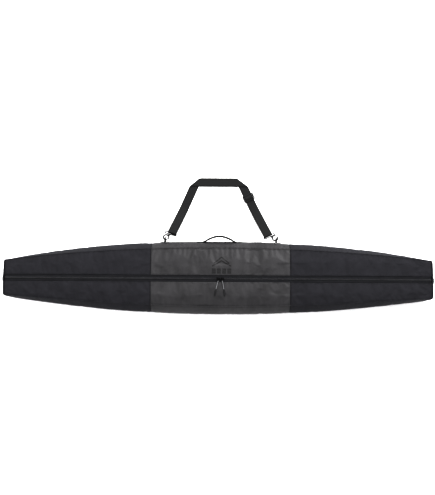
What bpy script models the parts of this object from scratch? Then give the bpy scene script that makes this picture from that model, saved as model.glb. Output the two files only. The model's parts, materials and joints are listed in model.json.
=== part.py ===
"""Padded double ski bag with a full-length front zip and a clip-on shoulder strap.

The bag lies on its back panel.  X runs along the bag, +Y points to the side that has
the carry handle and the shoulder strap, and +Z points out of the zipped front.  The
origin is the centre of the back panel's outer face.  Sizes are in metres.
"""

import math

import bmesh
import bpy
from mathutils import Matrix, Vector

# Padded body
HALF_LENGTH = 0.960
HALF_WIDTH = 0.161
DEPTH = 0.140
WALL = 0.006
TAPER_LEFT = 0.395
TAPER_RIGHT = 0.365
TAPER_SPAN = 0.855
TAPER_POWER = 2.2
BODY_SHIFT = 0.0075
MID_BULGE = 0.031
END_BULGE = 0.002
CENTRE_LEFT = -0.302
CENTRE_RIGHT = 0.322
END_PANEL = 0.009
GAP = 0.0003

# Front opening
FOLD_Y = 0.067
FOLD_DROP = 0.0035
TAPE_EDGE = 0.0147
TAPE_INNER = 0.0018
TAPE_TOP = DEPTH - 0.0018
TAPE_THICK = 0.0012
COIL_WIDTH = 0.0034
COIL_TOP = DEPTH + 0.0010
COIL_BASE = DEPTH - 0.0015
SLIDER_X = {"left": 0.0005, "right": 0.0180}
SLIDER_HALF_LENGTH = 0.0080
SLIDER_HALF_WIDTH = 0.0055
PULL_AXIS_Z = DEPTH + 0.0068
PULL_TIP_Z = DEPTH + 0.0030
PULL_REACH = {"left": -0.0165, "right": 0.0120}
CORD_RADIUS = 0.0015
CORD_START = 0.0098
CORD_END = 0.0470
TIP_END = 0.0790
TIP_RADIUS = 0.0032

# Webbing and shoulder strap
WEBBING = 0.040
WEBBING_THICK = 0.0020
FLOOR_LAYER = 0.0015
STRAP_TOP_EDGE = 0.4765
STRAP_INNER_EDGE = 0.4370
STRAP_LIFT_Y = 0.355
STRAP_HOOK_Y = 0.205
HOOK_TILT = math.radians(-15)
STRAP_FOOT = {"left": (-0.2110, 0.2164), "right": (0.2247, 0.2057)}
D_RING_X = {"left": -0.2425, "right": 0.2625}
D_RING_Y = 0.1715
D_RING_RADIUS = 0.018
D_RING_WIRE = 0.0023
HOOK_ANGLE = {"left": math.radians(41), "right": math.radians(160)}
HOOK_RADIUS = 0.0120
HOOK_WIRE = 0.0025
HOOK_REACH = 0.0045
HOOK_TO_BAR = 0.0280
HOOK_ARC = range(98, 337, 17)
GATE_WIRE = 0.0016
GATE_ARC = range(66, -5, -14)
BAR_TURN = {"left": math.radians(-18), "right": math.radians(25)}
BAR_HALF_LENGTH = 0.0280
BAR_SLOT = (0.0243, -0.0035, 0.0020)
BAR_HALF_THICK = 0.0020
GLIDE_CENTRE = Vector((0.1394, 0.386, 0.0))
GLIDE_HALF_LENGTH = 0.0255
GLIDE_HALF_WIDTH = 0.0160
GLIDE_THICK = 0.0030
CORNER_IN = {"left": (-0.0934, STRAP_INNER_EDGE), "right": (0.0928, STRAP_INNER_EDGE)}
CORNER_LOW = {"left": (-0.1368, 0.4355), "right": (0.1370, 0.4355)}
CORNER_HIGH = {"left": (-0.0885, STRAP_TOP_EDGE), "right": (0.0830, STRAP_TOP_EDGE)}

# Handles
HANDLE_X = 0.005
HANDLE_HALF_SPAN = 0.080
HANDLE_RISE = 0.0255
HANDLE_THICK = 0.0040
HANDLE_FOOT = 0.022
LOOP_HALF_SPAN = 0.034
LOOP_RISE = 0.0125
LOOP_WIDTH = 0.025

# Tie-down straps inside
TIE_X = {"left": -0.470, "right": 0.490}
TIE_WIDTH = 0.025
TIE_Z = 0.0068

COLOURS = {
    "centre_fabric": ((0.070, 0.068, 0.072), 0.42, 0.0),
    "end_fabric": ((0.034, 0.034, 0.038), 0.85, 0.0),
    "webbing": ((0.032, 0.032, 0.033), 0.80, 0.0),
    "zip_tape": ((0.022, 0.022, 0.024), 0.90, 0.0),
    "zip_coil": ((0.034, 0.034, 0.036), 0.45, 0.0),
    "black_metal": ((0.030, 0.030, 0.032), 0.35, 0.9),
    "black_plastic": ((0.018, 0.018, 0.019), 0.45, 0.0),
    "pull_cord": ((0.300, 0.300, 0.310), 0.75, 0.0),
}


def clear_scene():
    for obj in list(bpy.data.objects):
        bpy.data.objects.remove(obj, do_unlink=True)


def make_material(slot, name):
    """A Principled material of the slot's colour, named for the piece that wears it."""
    colour, roughness, metallic = COLOURS[slot]
    material = bpy.data.materials.new(name)
    material.use_nodes = True
    shader = material.node_tree.nodes["Principled BSDF"]
    shader.inputs["Base Color"].default_value = (*colour, 1.0)
    shader.inputs["Roughness"].default_value = roughness
    shader.inputs["Metallic"].default_value = metallic
    return material


def add_piece(name, verts, faces, slot, pivot=(0.0, 0.0, 0.0), smooth=False):
    """Adds one closed piece whose object origin is its pivot."""
    pivot = Vector(pivot)
    mesh = bpy.data.meshes.new(name)
    mesh.from_pydata([Vector(v) - pivot for v in verts], [], faces)
    work = bmesh.new()
    work.from_mesh(mesh)
    bmesh.ops.recalc_face_normals(work, faces=work.faces)
    work.to_mesh(mesh)
    work.free()
    if smooth:
        mesh.shade_smooth()
        mesh.set_sharp_from_angle(angle=math.radians(40))
    mesh.materials.append(make_material(slot, name))
    piece = bpy.data.objects.new(name, mesh)
    piece.location = pivot
    bpy.context.scene.collection.objects.link(piece)
    return piece


def loft(sections):
    """Verts and faces of a closed solid through loops that have the same number of points."""
    count = len(sections[0])
    verts = [point for section in sections for point in section]
    faces = [tuple(range(count)), tuple(range(len(verts) - count, len(verts)))]
    for ring in range(len(sections) - 1):
        for i in range(count):
            j = (i + 1) % count
            base = ring * count
            faces.append((base + i, base + j, base + count + j, base + count + i))
    return verts, faces


def ring_tube(path, radius, sides=8, closed=False):
    """Verts and faces of a round tube along a flat path, with caps if it is open."""
    points = [Vector(p) for p in path]
    count = len(points)
    normal = (points[1] - points[0]).cross(points[2] - points[1]).normalized()
    verts = []
    for i, point in enumerate(points):
        before = points[(i - 1) % count] if closed or i > 0 else point
        after = points[(i + 1) % count] if closed or i < count - 1 else point
        side = (after - before).normalized().cross(normal)
        for k in range(sides):
            turn = 2 * math.pi * k / sides
            verts.append(point + radius * (math.cos(turn) * side + math.sin(turn) * normal))
    faces = []
    for i in range(count if closed else count - 1):
        here = i * sides
        there = ((i + 1) % count) * sides
        for k in range(sides):
            n = (k + 1) % sides
            faces.append((here + k, here + n, there + n, there + k))
    if not closed:
        faces.append(tuple(range(sides)))
        faces.append(tuple(range((count - 1) * sides, count * sides)))
    return verts, faces


def cell_solid(xs, ys, zs, filled):
    """Verts and faces of a solid made of the filled cells (i, j, k) of a box grid."""
    verts = []
    index = {}
    faces = []
    corners = {
        (1, 0, 0): [(1, 0, 0), (1, 1, 0), (1, 1, 1), (1, 0, 1)],
        (-1, 0, 0): [(0, 0, 0), (0, 0, 1), (0, 1, 1), (0, 1, 0)],
        (0, 1, 0): [(0, 1, 0), (0, 1, 1), (1, 1, 1), (1, 1, 0)],
        (0, -1, 0): [(0, 0, 0), (1, 0, 0), (1, 0, 1), (0, 0, 1)],
        (0, 0, 1): [(0, 0, 1), (1, 0, 1), (1, 1, 1), (0, 1, 1)],
        (0, 0, -1): [(0, 0, 0), (0, 1, 0), (1, 1, 0), (1, 0, 0)],
    }
    for cell in sorted(filled):
        for step, square in corners.items():
            if tuple(c + s for c, s in zip(cell, step)) in filled:
                continue
            face = []
            for corner in square:
                key = tuple(c + d for c, d in zip(cell, corner))
                if key not in index:
                    index[key] = len(verts)
                    verts.append((xs[key[0]], ys[key[1]], zs[key[2]]))
                face.append(index[key])
            faces.append(tuple(face))
    return verts, faces


def ribbon_wall(path, thickness, middle_z, height):
    """Webbing that stands on edge along a plan path."""
    points = [Vector(p) for p in path]
    rings = []
    for i, point in enumerate(points):
        before = points[max(i - 1, 0)]
        after = points[min(i + 1, len(points) - 1)]
        run = (after - before).normalized()
        side = Vector((-run.y, run.x)) * thickness / 2
        loop = []
        for offset, z in ((1, -1), (1, 1), (-1, 1), (-1, -1)):
            at = point + offset * side
            loop.append((at.x, at.y, middle_z + z * height / 2))
        rings.append(loop)
    return loft(rings)


def spread(start, end, steps):
    return [start + (end - start) * i / steps for i in range(steps + 1)]


# Outline of the padded body


def half_width(x):
    taper = TAPER_LEFT if x < 0 else TAPER_RIGHT
    return HALF_WIDTH * (1 - taper * (abs(x) / TAPER_SPAN) ** TAPER_POWER)


def bulge(x):
    return END_BULGE + (MID_BULGE - END_BULGE) * (1 - (abs(x) / HALF_LENGTH) ** 3)


def sway(x):
    """How far the padding lies to the upper side of the zip."""
    return BODY_SHIFT * (1 - (abs(x) / HALF_LENGTH) ** 6)


def seam_y(x, side):
    """Distance from the zip to the seams of the upper (side = 1) or lower (side = -1) half."""
    return half_width(x) - bulge(x) + side * sway(x)


def front_seam_z(x):
    return DEPTH - 0.005 - 0.009 * (1 - (x / HALF_LENGTH) ** 2)


def gusset_point(x, t, side, inward=0.0):
    """A point (y, z) of the gusset, from the back seam (t = 0) to the front seam (t = 1)."""
    low = 0.004 + inward
    high = front_seam_z(x) - inward
    y = seam_y(x, side) + GAP / 2 + (bulge(x) - inward) * math.sin(math.pi * t)
    return y, low + (high - low) * t


def top_z(y):
    return DEPTH - FOLD_DROP * (y / FOLD_Y) ** 2


def flap_section(_x, _side):
    outer = [(y, top_z(y)) for y in spread(TAPE_EDGE + GAP, FOLD_Y - GAP / 2, 3)]
    return outer + [(y, z - WALL) for y, z in reversed(outer)]


def yoke_section(x, side):
    outer = []
    for step in spread(0.0, 1.0, 4):
        y = FOLD_Y + GAP / 2 + (seam_y(x, side) - GAP - FOLD_Y) * step
        outer.append((y, top_z(FOLD_Y) - (top_z(FOLD_Y) - front_seam_z(x)) * step**1.6))
    return outer + [(y, z - WALL) for y, z in reversed(outer)]


def gusset_section(x, side):
    steps = spread(0.0, 1.0, 8)
    outer = [gusset_point(x, t, side) for t in steps]
    return outer + [gusset_point(x, t, side, WALL) for t in reversed(steps)]


def back_section(x, _side):
    low = GAP / 2 - seam_y(x, -1)
    high = seam_y(x, 1) - GAP / 2
    outer = [(low, 0.004), (low + 0.012, 0.0), (high - 0.012, 0.0), (high, 0.004)]
    return outer + [(y, z + WALL) for y, z in reversed(outer)]


def end_outline(x, inset):
    """Outline (y, z) of the whole bag near its end, drawn in by the inset."""
    halves = []
    for side in (1, -1):
        half = [(0.0, 0.0), (seam_y(x, side) - 0.012, 0.0)]
        half += [gusset_point(x, t, side) for t in spread(0.0, 1.0, 6)]
        half += [(y, top_z(y)) for y in (FOLD_Y, 0.04, 0.0)]
        halves.append([(side * y, z) for y, z in half])
    outline = halves[0] + halves[1][-2:0:-1]
    wide = 1 - inset / half_width(x)
    high = 1 - inset / (DEPTH / 2)
    return [(y * wide, DEPTH / 2 + (z - DEPTH / 2) * high) for y, z in outline]


def make_panel(name, left, right, section, side, slot, pivot=(0.0, 0.0, 0.0)):
    """A padded strip along X, on the upper (side = 1) or lower (side = -1) half."""
    steps = max(4, round((right - left) / 0.085))
    rings = []
    for x in spread(left, right, steps):
        rings.append([(x, side * y, z) for y, z in section(x, side)])
    return add_piece(name, *loft(rings), slot, pivot, smooth=True)


def sections_along_x():
    """(name, left end, right end, fabric) of the three sewn sections."""
    end = HALF_LENGTH - END_PANEL
    return [
        ("left", -end + GAP, CENTRE_LEFT - GAP / 2, "end_fabric"),
        ("centre", CENTRE_LEFT + GAP / 2, CENTRE_RIGHT - GAP / 2, "centre_fabric"),
        ("right", CENTRE_RIGHT + GAP / 2, end - GAP, "end_fabric"),
    ]


def make_body():
    end = HALF_LENGTH - END_PANEL - GAP
    make_panel("back_panel", -end, end, back_section, 1, "end_fabric")
    for place, left, right, fabric in sections_along_x():
        for half, side in (("upper", 1), ("lower", -1)):
            fold = (0.0, side * FOLD_Y, top_z(FOLD_Y))
            make_panel(f"{half}_gusset_{place}", left, right, gusset_section, side, fabric)
            make_panel(f"{half}_yoke_{place}", left, right, yoke_section, side, fabric)
            make_panel(f"{half}_flap_{place}", left, right, flap_section, side, fabric, fold)
    for place, side in (("left", -1), ("right", 1)):
        rings = []
        for turn in (0.0, 0.35, 0.7, 1.0):
            x = HALF_LENGTH - END_PANEL + END_PANEL * math.sin(turn * math.pi / 2)
            inset = END_PANEL * (1 - math.cos(turn * math.pi / 2))
            outline = end_outline(side * (HALF_LENGTH - END_PANEL), inset)
            rings.append([(side * x, y, z) for y, z in outline])
        add_piece(f"{place}_end_panel", *loft(rings), "end_fabric", smooth=True)


def make_box(name, low, high, slot, pivot=(0.0, 0.0, 0.0)):
    xs, ys, zs = zip(low, high)
    return add_piece(name, *cell_solid(xs, ys, zs, {(0, 0, 0)}), slot, pivot)


def make_zip():
    reach = HALF_LENGTH - END_PANEL - 0.002
    for half, side in (("upper", 1), ("lower", -1)):
        fold = (0.0, side * FOLD_Y, top_z(FOLD_Y))
        tape = sorted((side * TAPE_INNER, side * TAPE_EDGE))
        coil = sorted((side * GAP / 2, side * (GAP / 2 + COIL_WIDTH)))
        make_box(
            f"{half}_zip_tape",
            (-reach, tape[0], TAPE_TOP - TAPE_THICK),
            (reach, tape[1], TAPE_TOP),
            "zip_tape",
            fold,
        )
        make_box(
            f"{half}_zip_coil",
            (-reach, coil[0], COIL_BASE),
            (reach, coil[1], COIL_TOP),
            "zip_coil",
            fold,
        )


def make_slider(place):
    """Slider body: a top plate, one flange and a bridge that runs along the zip."""
    x = SLIDER_X[place]
    half = SLIDER_HALF_LENGTH
    xs = [x + d for d in (-half, -0.0066, -0.0048, 0.0048, 0.0066, half)]
    ys = [-SLIDER_HALF_WIDTH, -0.0010, 0.0010, 0.0040, SLIDER_HALF_WIDTH]
    plate = COIL_TOP + GAP
    zs = [TAPE_TOP + 0.0004, plate, plate + 0.0018, PULL_AXIS_Z - 0.0009, PULL_AXIS_Z + 0.0009]
    filled = {(i, j, 1) for i in range(5) for j in range(4)}
    filled |= {(i, 3, 0) for i in range(5)}
    filled |= {(i, 1, 2) for i in (1, 3)}
    filled |= {(i, 1, 3) for i in (1, 2, 3)}
    add_piece(f"{place}_slider", *cell_solid(xs, ys, zs, filled), "black_metal", (x, 0.0, DEPTH))


def pull_point(place, along):
    """A point of the zip pull, this far from its hinge; past its tab the pull bends outward."""
    z = PULL_AXIS_Z + (PULL_TIP_Z - PULL_AXIS_Z) * along / TIP_END
    bend = max(0.0, along - CORD_START) / (TIP_END - CORD_START)
    return Vector((SLIDER_X[place] + PULL_REACH[place] * bend**0.8, -along, z))


def smooth_route(points, step):
    """Points a step apart on a Catmull-Rom curve through the given points."""
    route = [points[0]]
    padded = [2 * points[0] - points[1], *points, 2 * points[-1] - points[-2]]
    for i in range(1, len(padded) - 2):
        p0, p1, p2, p3 = padded[i - 1 : i + 3]
        pieces = max(1, round((p2 - p1).length / step))
        for k in range(1, pieces + 1):
            t = k / pieces
            linear = 2 * p1 + (p2 - p0) * t
            curved = (2 * p0 - 5 * p1 + 4 * p2 - p3) * t**2 + (3 * p1 - p0 - 3 * p2 + p3) * t**3
            route.append((linear + curved) / 2)
    return route


def make_pull(place):
    """Zip pull: an eye tab on the slider's bridge, a cord and a moulded tip."""
    pivot = Vector((SLIDER_X[place], 0.0, PULL_AXIS_Z))
    sides = 16
    verts = []
    for x in (-0.0014, 0.0014):
        for k in range(sides):
            turn = 2 * math.pi * k / sides
            nose = max(0.0, math.cos(turn)) ** 8
            outer = 0.0028 + 0.0064 * nose
            for radius in (0.0018, outer):
                slope = (PULL_TIP_Z - PULL_AXIS_Z) / TIP_END * radius * nose
                y = -radius * math.cos(turn)
                verts.append(pivot + Vector((x, y, radius * math.sin(turn) + slope)))
    faces = []
    ring = 2 * sides
    for k in range(sides):
        a, b = 2 * k, 2 * ((k + 1) % sides)
        faces += [(a, b, b + 1, a + 1), (ring + a, ring + a + 1, ring + b + 1, ring + b)]
        faces += [(a, ring + a, ring + b, b), (a + 1, b + 1, ring + b + 1, ring + a + 1)]
    add_piece(f"{place}_pull_tab", verts, faces, "black_metal", pivot)

    curve = bpy.data.curves.new(f"{place}_pull_cord", "CURVE")
    curve.dimensions = "3D"
    curve.bevel_depth = CORD_RADIUS
    curve.bevel_resolution = 2
    curve.use_fill_caps = True
    spline = curve.splines.new("POLY")
    marks = [pull_point(place, a) for a in spread(CORD_START, CORD_END, 3)]
    route = smooth_route(marks, 2.5 * CORD_RADIUS * 2)
    spline.points.add(len(route) - 1)
    for knot, point in zip(spline.points, route):
        knot.co = (*(point - pivot), 1.0)
    curve.materials.append(make_material("pull_cord", f"{place}_pull_cord"))
    cord = bpy.data.objects.new(f"{place}_pull_cord", curve)
    cord.location = pivot
    bpy.context.scene.collection.objects.link(cord)

    start = pull_point(place, CORD_END + GAP)
    axis = (pull_point(place, TIP_END) - start).normalized()
    side = axis.cross(Vector((0, 0, 1))).normalized()
    lift = side.cross(axis)
    length = TIP_END - CORD_END
    rings = []
    for share, radius in ((0.0, 0.6), (0.12, 0.85), (0.5, 1.0), (0.85, 0.95), (1.0, 0.5)):
        centre = start + axis * length * share
        loop = []
        for k in range(10):
            turn = 2 * math.pi * k / 10
            offset = math.cos(turn) * side + 0.75 * math.sin(turn) * lift
            loop.append(centre + TIP_RADIUS * radius * offset)
        rings.append(loop)
    add_piece(f"{place}_pull_tip", *loft(rings), "black_plastic", pivot, smooth=True)


# Shoulder strap hardware, drawn flat and then tilted about the line through both D-rings


def hook_frame(place):
    """Matrix from the hook's flat plan, with the D-ring's centre at its origin, to the bag."""
    centre = Vector((D_RING_X[place], D_RING_Y, DEPTH / 2))
    return Matrix.Translation(centre) @ Matrix.Rotation(HOOK_TILT, 4, "X")


def make_d_ring(place):
    x = D_RING_X[place]
    centre = Vector((x, D_RING_Y, DEPTH / 2))
    corner = math.radians(86)
    path = []
    for k in range(13):
        turn = -corner + 2 * corner * k / 12
        path.append(centre + D_RING_RADIUS * Vector((0, math.cos(turn), math.sin(turn))))
    for share in (0.9, 0.45, 0.0, -0.45, -0.9):
        path.append(centre + Vector((0, 0, D_RING_RADIUS * share)))
    verts, faces = ring_tube(path, D_RING_WIRE, closed=True)
    add_piece(f"{place}_d_ring", verts, faces, "black_metal", centre, smooth=True)

    wrap = D_RING_WIRE + GAP + 0.0006
    foot_y = half_width(x) + sway(x) + 0.0012
    path = [(x - 0.014, foot_y), (x - 0.0052, foot_y)]
    for k in range(9):
        turn = math.radians(222 - 264 * k / 8)
        path.append((x + wrap * math.cos(turn), D_RING_Y + wrap * math.sin(turn)))
    path += [(x + 0.0052, foot_y), (x + 0.014, foot_y)]
    add_piece(f"{place}_ring_tab", *ribbon_wall(path, 0.0010, DEPTH / 2, 0.024), "webbing")


def make_hook(place):
    """Snap hook: an open ring on a swivel neck, its sprung gate and the bar for the webbing."""
    frame = hook_frame(place)
    angle = HOOK_ANGLE[place]
    run = Vector((math.cos(angle), math.sin(angle), 0))
    ring_centre = Vector((0, D_RING_RADIUS, 0)) + HOOK_REACH * run
    bar_centre = ring_centre + HOOK_TO_BAR * run

    def on_ring(turn):
        spin = angle - math.pi / 2 + turn
        return ring_centre + HOOK_RADIUS * Vector((math.cos(spin), math.sin(spin), 0))

    def placed(verts):
        return [frame @ Vector(v) for v in verts]

    pivot = frame @ ring_centre
    neck = ring_centre + (HOOK_RADIUS + 0.0055) * run
    path = [neck, ring_centre + (HOOK_RADIUS + 0.0020) * run]
    path += [on_ring(math.radians(t)) for t in HOOK_ARC]
    verts, faces = ring_tube(path, HOOK_WIRE)
    add_piece(f"{place}_snap_hook", placed(verts), faces, "black_metal", pivot, smooth=True)

    gate_path = [on_ring(math.radians(t)) for t in GATE_ARC]
    hinge = frame @ gate_path[0]
    verts, faces = ring_tube(gate_path, GATE_WIRE, sides=6)
    add_piece(f"{place}_hook_gate", placed(verts), faces, "black_metal", hinge, smooth=True)

    turn = Matrix.Rotation(BAR_TURN[place], 4, "Z")
    slot_end, slot_near, slot_far = BAR_SLOT
    xs = (-BAR_HALF_LENGTH, -slot_end, -0.0040, 0.0040, slot_end, BAR_HALF_LENGTH)
    ys = (-0.0054, slot_near, slot_far, 0.0055)
    zs = (-BAR_HALF_THICK, BAR_HALF_THICK)
    slot = {(i, 1, 0) for i in (1, 2, 3)}
    filled = {(i, j, 0) for i in range(5) for j in range(3)} - slot
    verts, faces = cell_solid(xs, ys, zs, filled)
    verts = [bar_centre + turn @ Vector(v) for v in verts]
    add_piece(f"{place}_strap_bar", placed(verts), faces, "black_metal", pivot)


def strap_z(y):
    """Height of the webbing: flat on the floor far out, rising to the hooks near the bag."""
    share = max(0.0, (STRAP_LIFT_Y - y) / (STRAP_LIFT_Y - STRAP_HOOK_Y))
    return FLOOR_LAYER + 0.1065 * share**2 - 0.0500 * share**3


def webbing(edges, doubled=0):
    """A strip of webbing between pairs of plan edge points, doubled over its first pairs."""
    rings = []
    for i, (first, second) in enumerate(edges):
        low = -WEBBING_THICK / 2
        high = low + WEBBING_THICK * (2 if i < doubled else 1)
        loop = []
        for (x, y), z in ((first, low), (second, low), (second, high), (first, high)):
            loop.append((x, y, strap_z(y) + z))
        rings.append(loop)
    return loft(rings)


def leg_ends(place):
    """Plan points of a strap leg's foot at the bar and its head at the fold."""
    return Vector(STRAP_FOOT[place]), (Vector(CORNER_LOW[place]) + Vector(CORNER_IN[place])) / 2


def leg_edges(place, end, steps):
    """Outer and inner edge points of a strap leg, from its foot to this share of its length."""
    foot, head = leg_ends(place)
    run = (head - foot).normalized()
    out = Vector((-run.y, run.x)) * WEBBING / 2
    if out.dot(Vector(CORNER_LOW[place]) - head) < 0:
        out = -out
    pairs = []
    for share in spread(0.0, end, steps):
        centre = foot + (head - foot) * share
        pairs.append((centre + out, centre - out))
    return pairs


def make_strap():
    pivot = (0.0, D_RING_Y, DEPTH / 2)
    for place in ("left", "right"):
        pairs = leg_edges(place, 0.94, 9)
        pairs.append((CORNER_LOW[place], CORNER_IN[place]))
        leg = webbing(pairs, doubled={"left": 0, "right": 8}[place])
        add_piece(f"strap_{place}_leg", *leg, "webbing", pivot)

    top = []
    for place, side in (("left", -1), ("right", 1)):
        low, inner, high = CORNER_LOW[place], CORNER_IN[place], CORNER_HIGH[place]
        ends = [
            ((low[0], low[1] + 2 * GAP), (inner[0], inner[1] + GAP)),
            (high, (inner[0] - side * 0.002, inner[1])),
        ]
        top += ends if side < 0 else ends[::-1]
    add_piece("strap_top_run", *webbing(top), "webbing", pivot)


def make_tri_glide():
    """Adjuster: two slots and a middle bar, lying on the doubled webbing."""
    foot, head = leg_ends("right")
    run = (foot - head).normalized().to_3d()
    across = Vector((-run.y, run.x, 0))
    xs = (-GLIDE_HALF_LENGTH, -0.0213, 0.0213, GLIDE_HALF_LENGTH)
    ys = (-GLIDE_HALF_WIDTH, -0.0120, -0.0030, 0.0030, 0.0120, GLIDE_HALF_WIDTH)
    low = FLOOR_LAYER + 1.5 * WEBBING_THICK + 0.0004
    zs = (low, low + GLIDE_THICK)
    filled = {(i, j, 0) for i in range(3) for j in range(5)} - {(1, 1, 0), (1, 3, 0)}
    verts, faces = cell_solid(xs, ys, zs, filled)
    verts = [GLIDE_CENTRE + x * across + y * run + Vector((0, 0, z)) for x, y, z in verts]
    add_piece("tri_glide", verts, faces, "black_plastic", GLIDE_CENTRE)


def make_handles():
    """Carry handle on the upper gusset with its two feet, and the grab loop at each end."""
    base = half_width(HANDLE_X) + sway(HANDLE_X) + 0.0004 + HANDLE_THICK / 2
    path = []
    for share in spread(-1.0, 1.0, 14):
        rise = HANDLE_RISE * (1 - share**2) ** 1.5
        path.append((HANDLE_X + HANDLE_HALF_SPAN * share, base + rise))
    arch = ribbon_wall(path, HANDLE_THICK, DEPTH / 2, WEBBING)
    add_piece("carry_handle", *arch, "webbing", smooth=True)
    for place, side in (("left", -1), ("right", 1)):
        near = HANDLE_X + side * (HANDLE_HALF_SPAN + 0.0016)
        rings = []
        for x in spread(near, near + side * HANDLE_FOOT, 3):
            curve = [gusset_point(x, t, 1) for t in spread(0.37, 0.63, 4)]
            loop = [(x, y + 0.0004, z) for y, z in curve]
            loop += [(x, y + 0.0030, z) for y, z in reversed(curve)]
            rings.append(loop)
        add_piece(f"{place}_handle_foot", *loft(rings), "webbing")

        path = []
        for share in spread(-1.0, 1.0, 12):
            rise = LOOP_RISE * (1 - share**2)
            path.append((side * (HALF_LENGTH + 0.0016 + rise), LOOP_HALF_SPAN * share))
        loop = ribbon_wall(path, 0.0024, DEPTH / 2, LOOP_WIDTH)
        add_piece(f"{place}_grab_loop", *loop, "webbing", smooth=True)


def make_tie_down(place):
    """Inner strap over the skis: two webbing halves with a side-release buckle."""
    x = TIE_X[place]
    half = TIE_WIDTH / 2
    top = TIE_Z + 0.0016
    long_end = (x - half, 0.020 - seam_y(x, -1), TIE_Z), (x + half, -0.0035, top)
    short_end = (x - half, 0.0035, TIE_Z), (x + half, seam_y(x, 1) - 0.020, top)
    make_box(f"{place}_tie_long_half", *long_end, "webbing")
    make_box(f"{place}_tie_short_half", *short_end, "webbing")

    low = top + GAP
    xs = [x + d for d in (-0.0165, -0.0130, 0.0130, 0.0165)]
    ys = (-0.0300, -0.0265, -0.0030)
    zs = (low, low + 0.0018, low + 0.0062, low + 0.0080)
    filled = {(i, j, k) for i in range(3) for j in range(2) for k in range(3)} - {(1, 1, 1)}
    add_piece(f"{place}_buckle_socket", *cell_solid(xs, ys, zs, filled), "black_plastic")

    xs = [x + d for d in (-0.0155, -0.0120, -0.0078, -0.0020, 0.0020, 0.0078, 0.0120, 0.0155)]
    ys = (-0.0220, 0.0, 0.0060, 0.0120, 0.0160)
    zs = (low + 0.0022, low + 0.0058)
    prongs = {(i, 0, 0) for i in (1, 3, 5)}
    frame = {(i, j, 0) for i in range(7) for j in (1, 2, 3)}
    window = {(i, 2, 0) for i in (2, 3, 4)}
    plug = cell_solid(xs, ys, zs, prongs | frame - window)
    add_piece(f"{place}_buckle_plug", *plug, "black_plastic", (x, 0.0, zs[0]))


def main():
    clear_scene()
    make_body()
    make_zip()
    make_strap()
    make_tri_glide()
    make_handles()
    for place in ("left", "right"):
        make_slider(place)
        make_pull(place)
        make_d_ring(place)
        make_hook(place)
        make_tie_down(place)


main()
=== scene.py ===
"""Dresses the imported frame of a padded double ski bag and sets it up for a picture.

The bag lies on its back panel with its zipped front up.  X runs along the bag, +Y points
to the side with the carry handle and the shoulder strap, and +Z points out of the front.
Every size is in metres and every place comes from the frame.
"""

from __future__ import annotations

import json
import logging
import math
from dataclasses import dataclass, field
from enum import Enum

import bmesh
import bpy
import numpy as np
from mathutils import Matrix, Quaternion, Vector, noise

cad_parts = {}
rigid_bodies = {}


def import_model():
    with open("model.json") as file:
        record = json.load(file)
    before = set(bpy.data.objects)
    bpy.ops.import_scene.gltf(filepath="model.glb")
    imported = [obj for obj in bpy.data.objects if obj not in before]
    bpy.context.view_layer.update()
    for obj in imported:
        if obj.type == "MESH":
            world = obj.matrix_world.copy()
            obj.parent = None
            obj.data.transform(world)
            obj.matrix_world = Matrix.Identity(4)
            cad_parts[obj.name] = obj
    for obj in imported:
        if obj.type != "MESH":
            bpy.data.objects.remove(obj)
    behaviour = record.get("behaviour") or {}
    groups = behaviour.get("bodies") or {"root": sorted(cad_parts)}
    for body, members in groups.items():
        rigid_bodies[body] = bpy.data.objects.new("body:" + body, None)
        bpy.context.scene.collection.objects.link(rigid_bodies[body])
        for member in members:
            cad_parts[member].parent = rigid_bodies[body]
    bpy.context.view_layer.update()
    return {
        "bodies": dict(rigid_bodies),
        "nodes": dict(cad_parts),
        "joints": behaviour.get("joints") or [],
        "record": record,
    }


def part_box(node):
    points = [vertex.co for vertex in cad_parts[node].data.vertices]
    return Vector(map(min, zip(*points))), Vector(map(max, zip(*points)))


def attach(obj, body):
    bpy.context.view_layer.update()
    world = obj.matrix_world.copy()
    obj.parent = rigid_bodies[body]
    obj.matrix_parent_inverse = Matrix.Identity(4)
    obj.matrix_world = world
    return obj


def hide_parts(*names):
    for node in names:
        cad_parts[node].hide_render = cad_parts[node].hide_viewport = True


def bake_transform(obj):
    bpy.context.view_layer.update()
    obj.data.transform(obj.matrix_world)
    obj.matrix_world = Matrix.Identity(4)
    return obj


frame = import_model()
LOG = logging.getLogger("ski_bag")
Array = np.ndarray
FLAT_UP = Vector((0.0, 0.0, 1.0))
ALONG_BAG = (1, 0, 0)
# Edges bent more than this are rounded where a piece asks for it, and drawn sharp.
BEVEL_ANGLE = 0.6
SHARP_ANGLE = math.radians(50.0)
# Clear room between neighbouring covers, and between the long covers and the end panels.
COVER_GAP = 0.0002
END_GAP = 0.0003
# Rows of topstitching start this far from a cover's ends, and run this far inside its edges.
ROW_START = 0.005
ROW_INSET = 0.0045
# The narrow webbing of the loops, and the margin from a webbing's edge to its box of stitches.
NARROW_THICKNESS = 0.0019
BOX_MARGIN = 0.002
BOX_PITCH = 0.0030
# Distance from one stitch to the next, and the part of it that a stitch fills.
STITCH_PITCH = 0.0042
STITCH_SPAN = (0.16, 0.84)


class Half(Enum):
    """The two halves of the front, named for the side of the zip that they lie on."""

    UPPER = 1
    LOWER = -1

    @property
    def word(self) -> str:
        """The half's name as the frame spells it."""
        return self.name.lower()


class End(Enum):
    """The two ends of the bag."""

    LEFT = -1
    RIGHT = 1

    @property
    def word(self) -> str:
        """The end's name as the frame spells it."""
        return self.name.lower()


class Section(Enum):
    """The three sewn lengths of fabric, from left to right."""

    LEFT = "left"
    CENTRE = "centre"
    RIGHT = "right"


# Finishes


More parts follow.
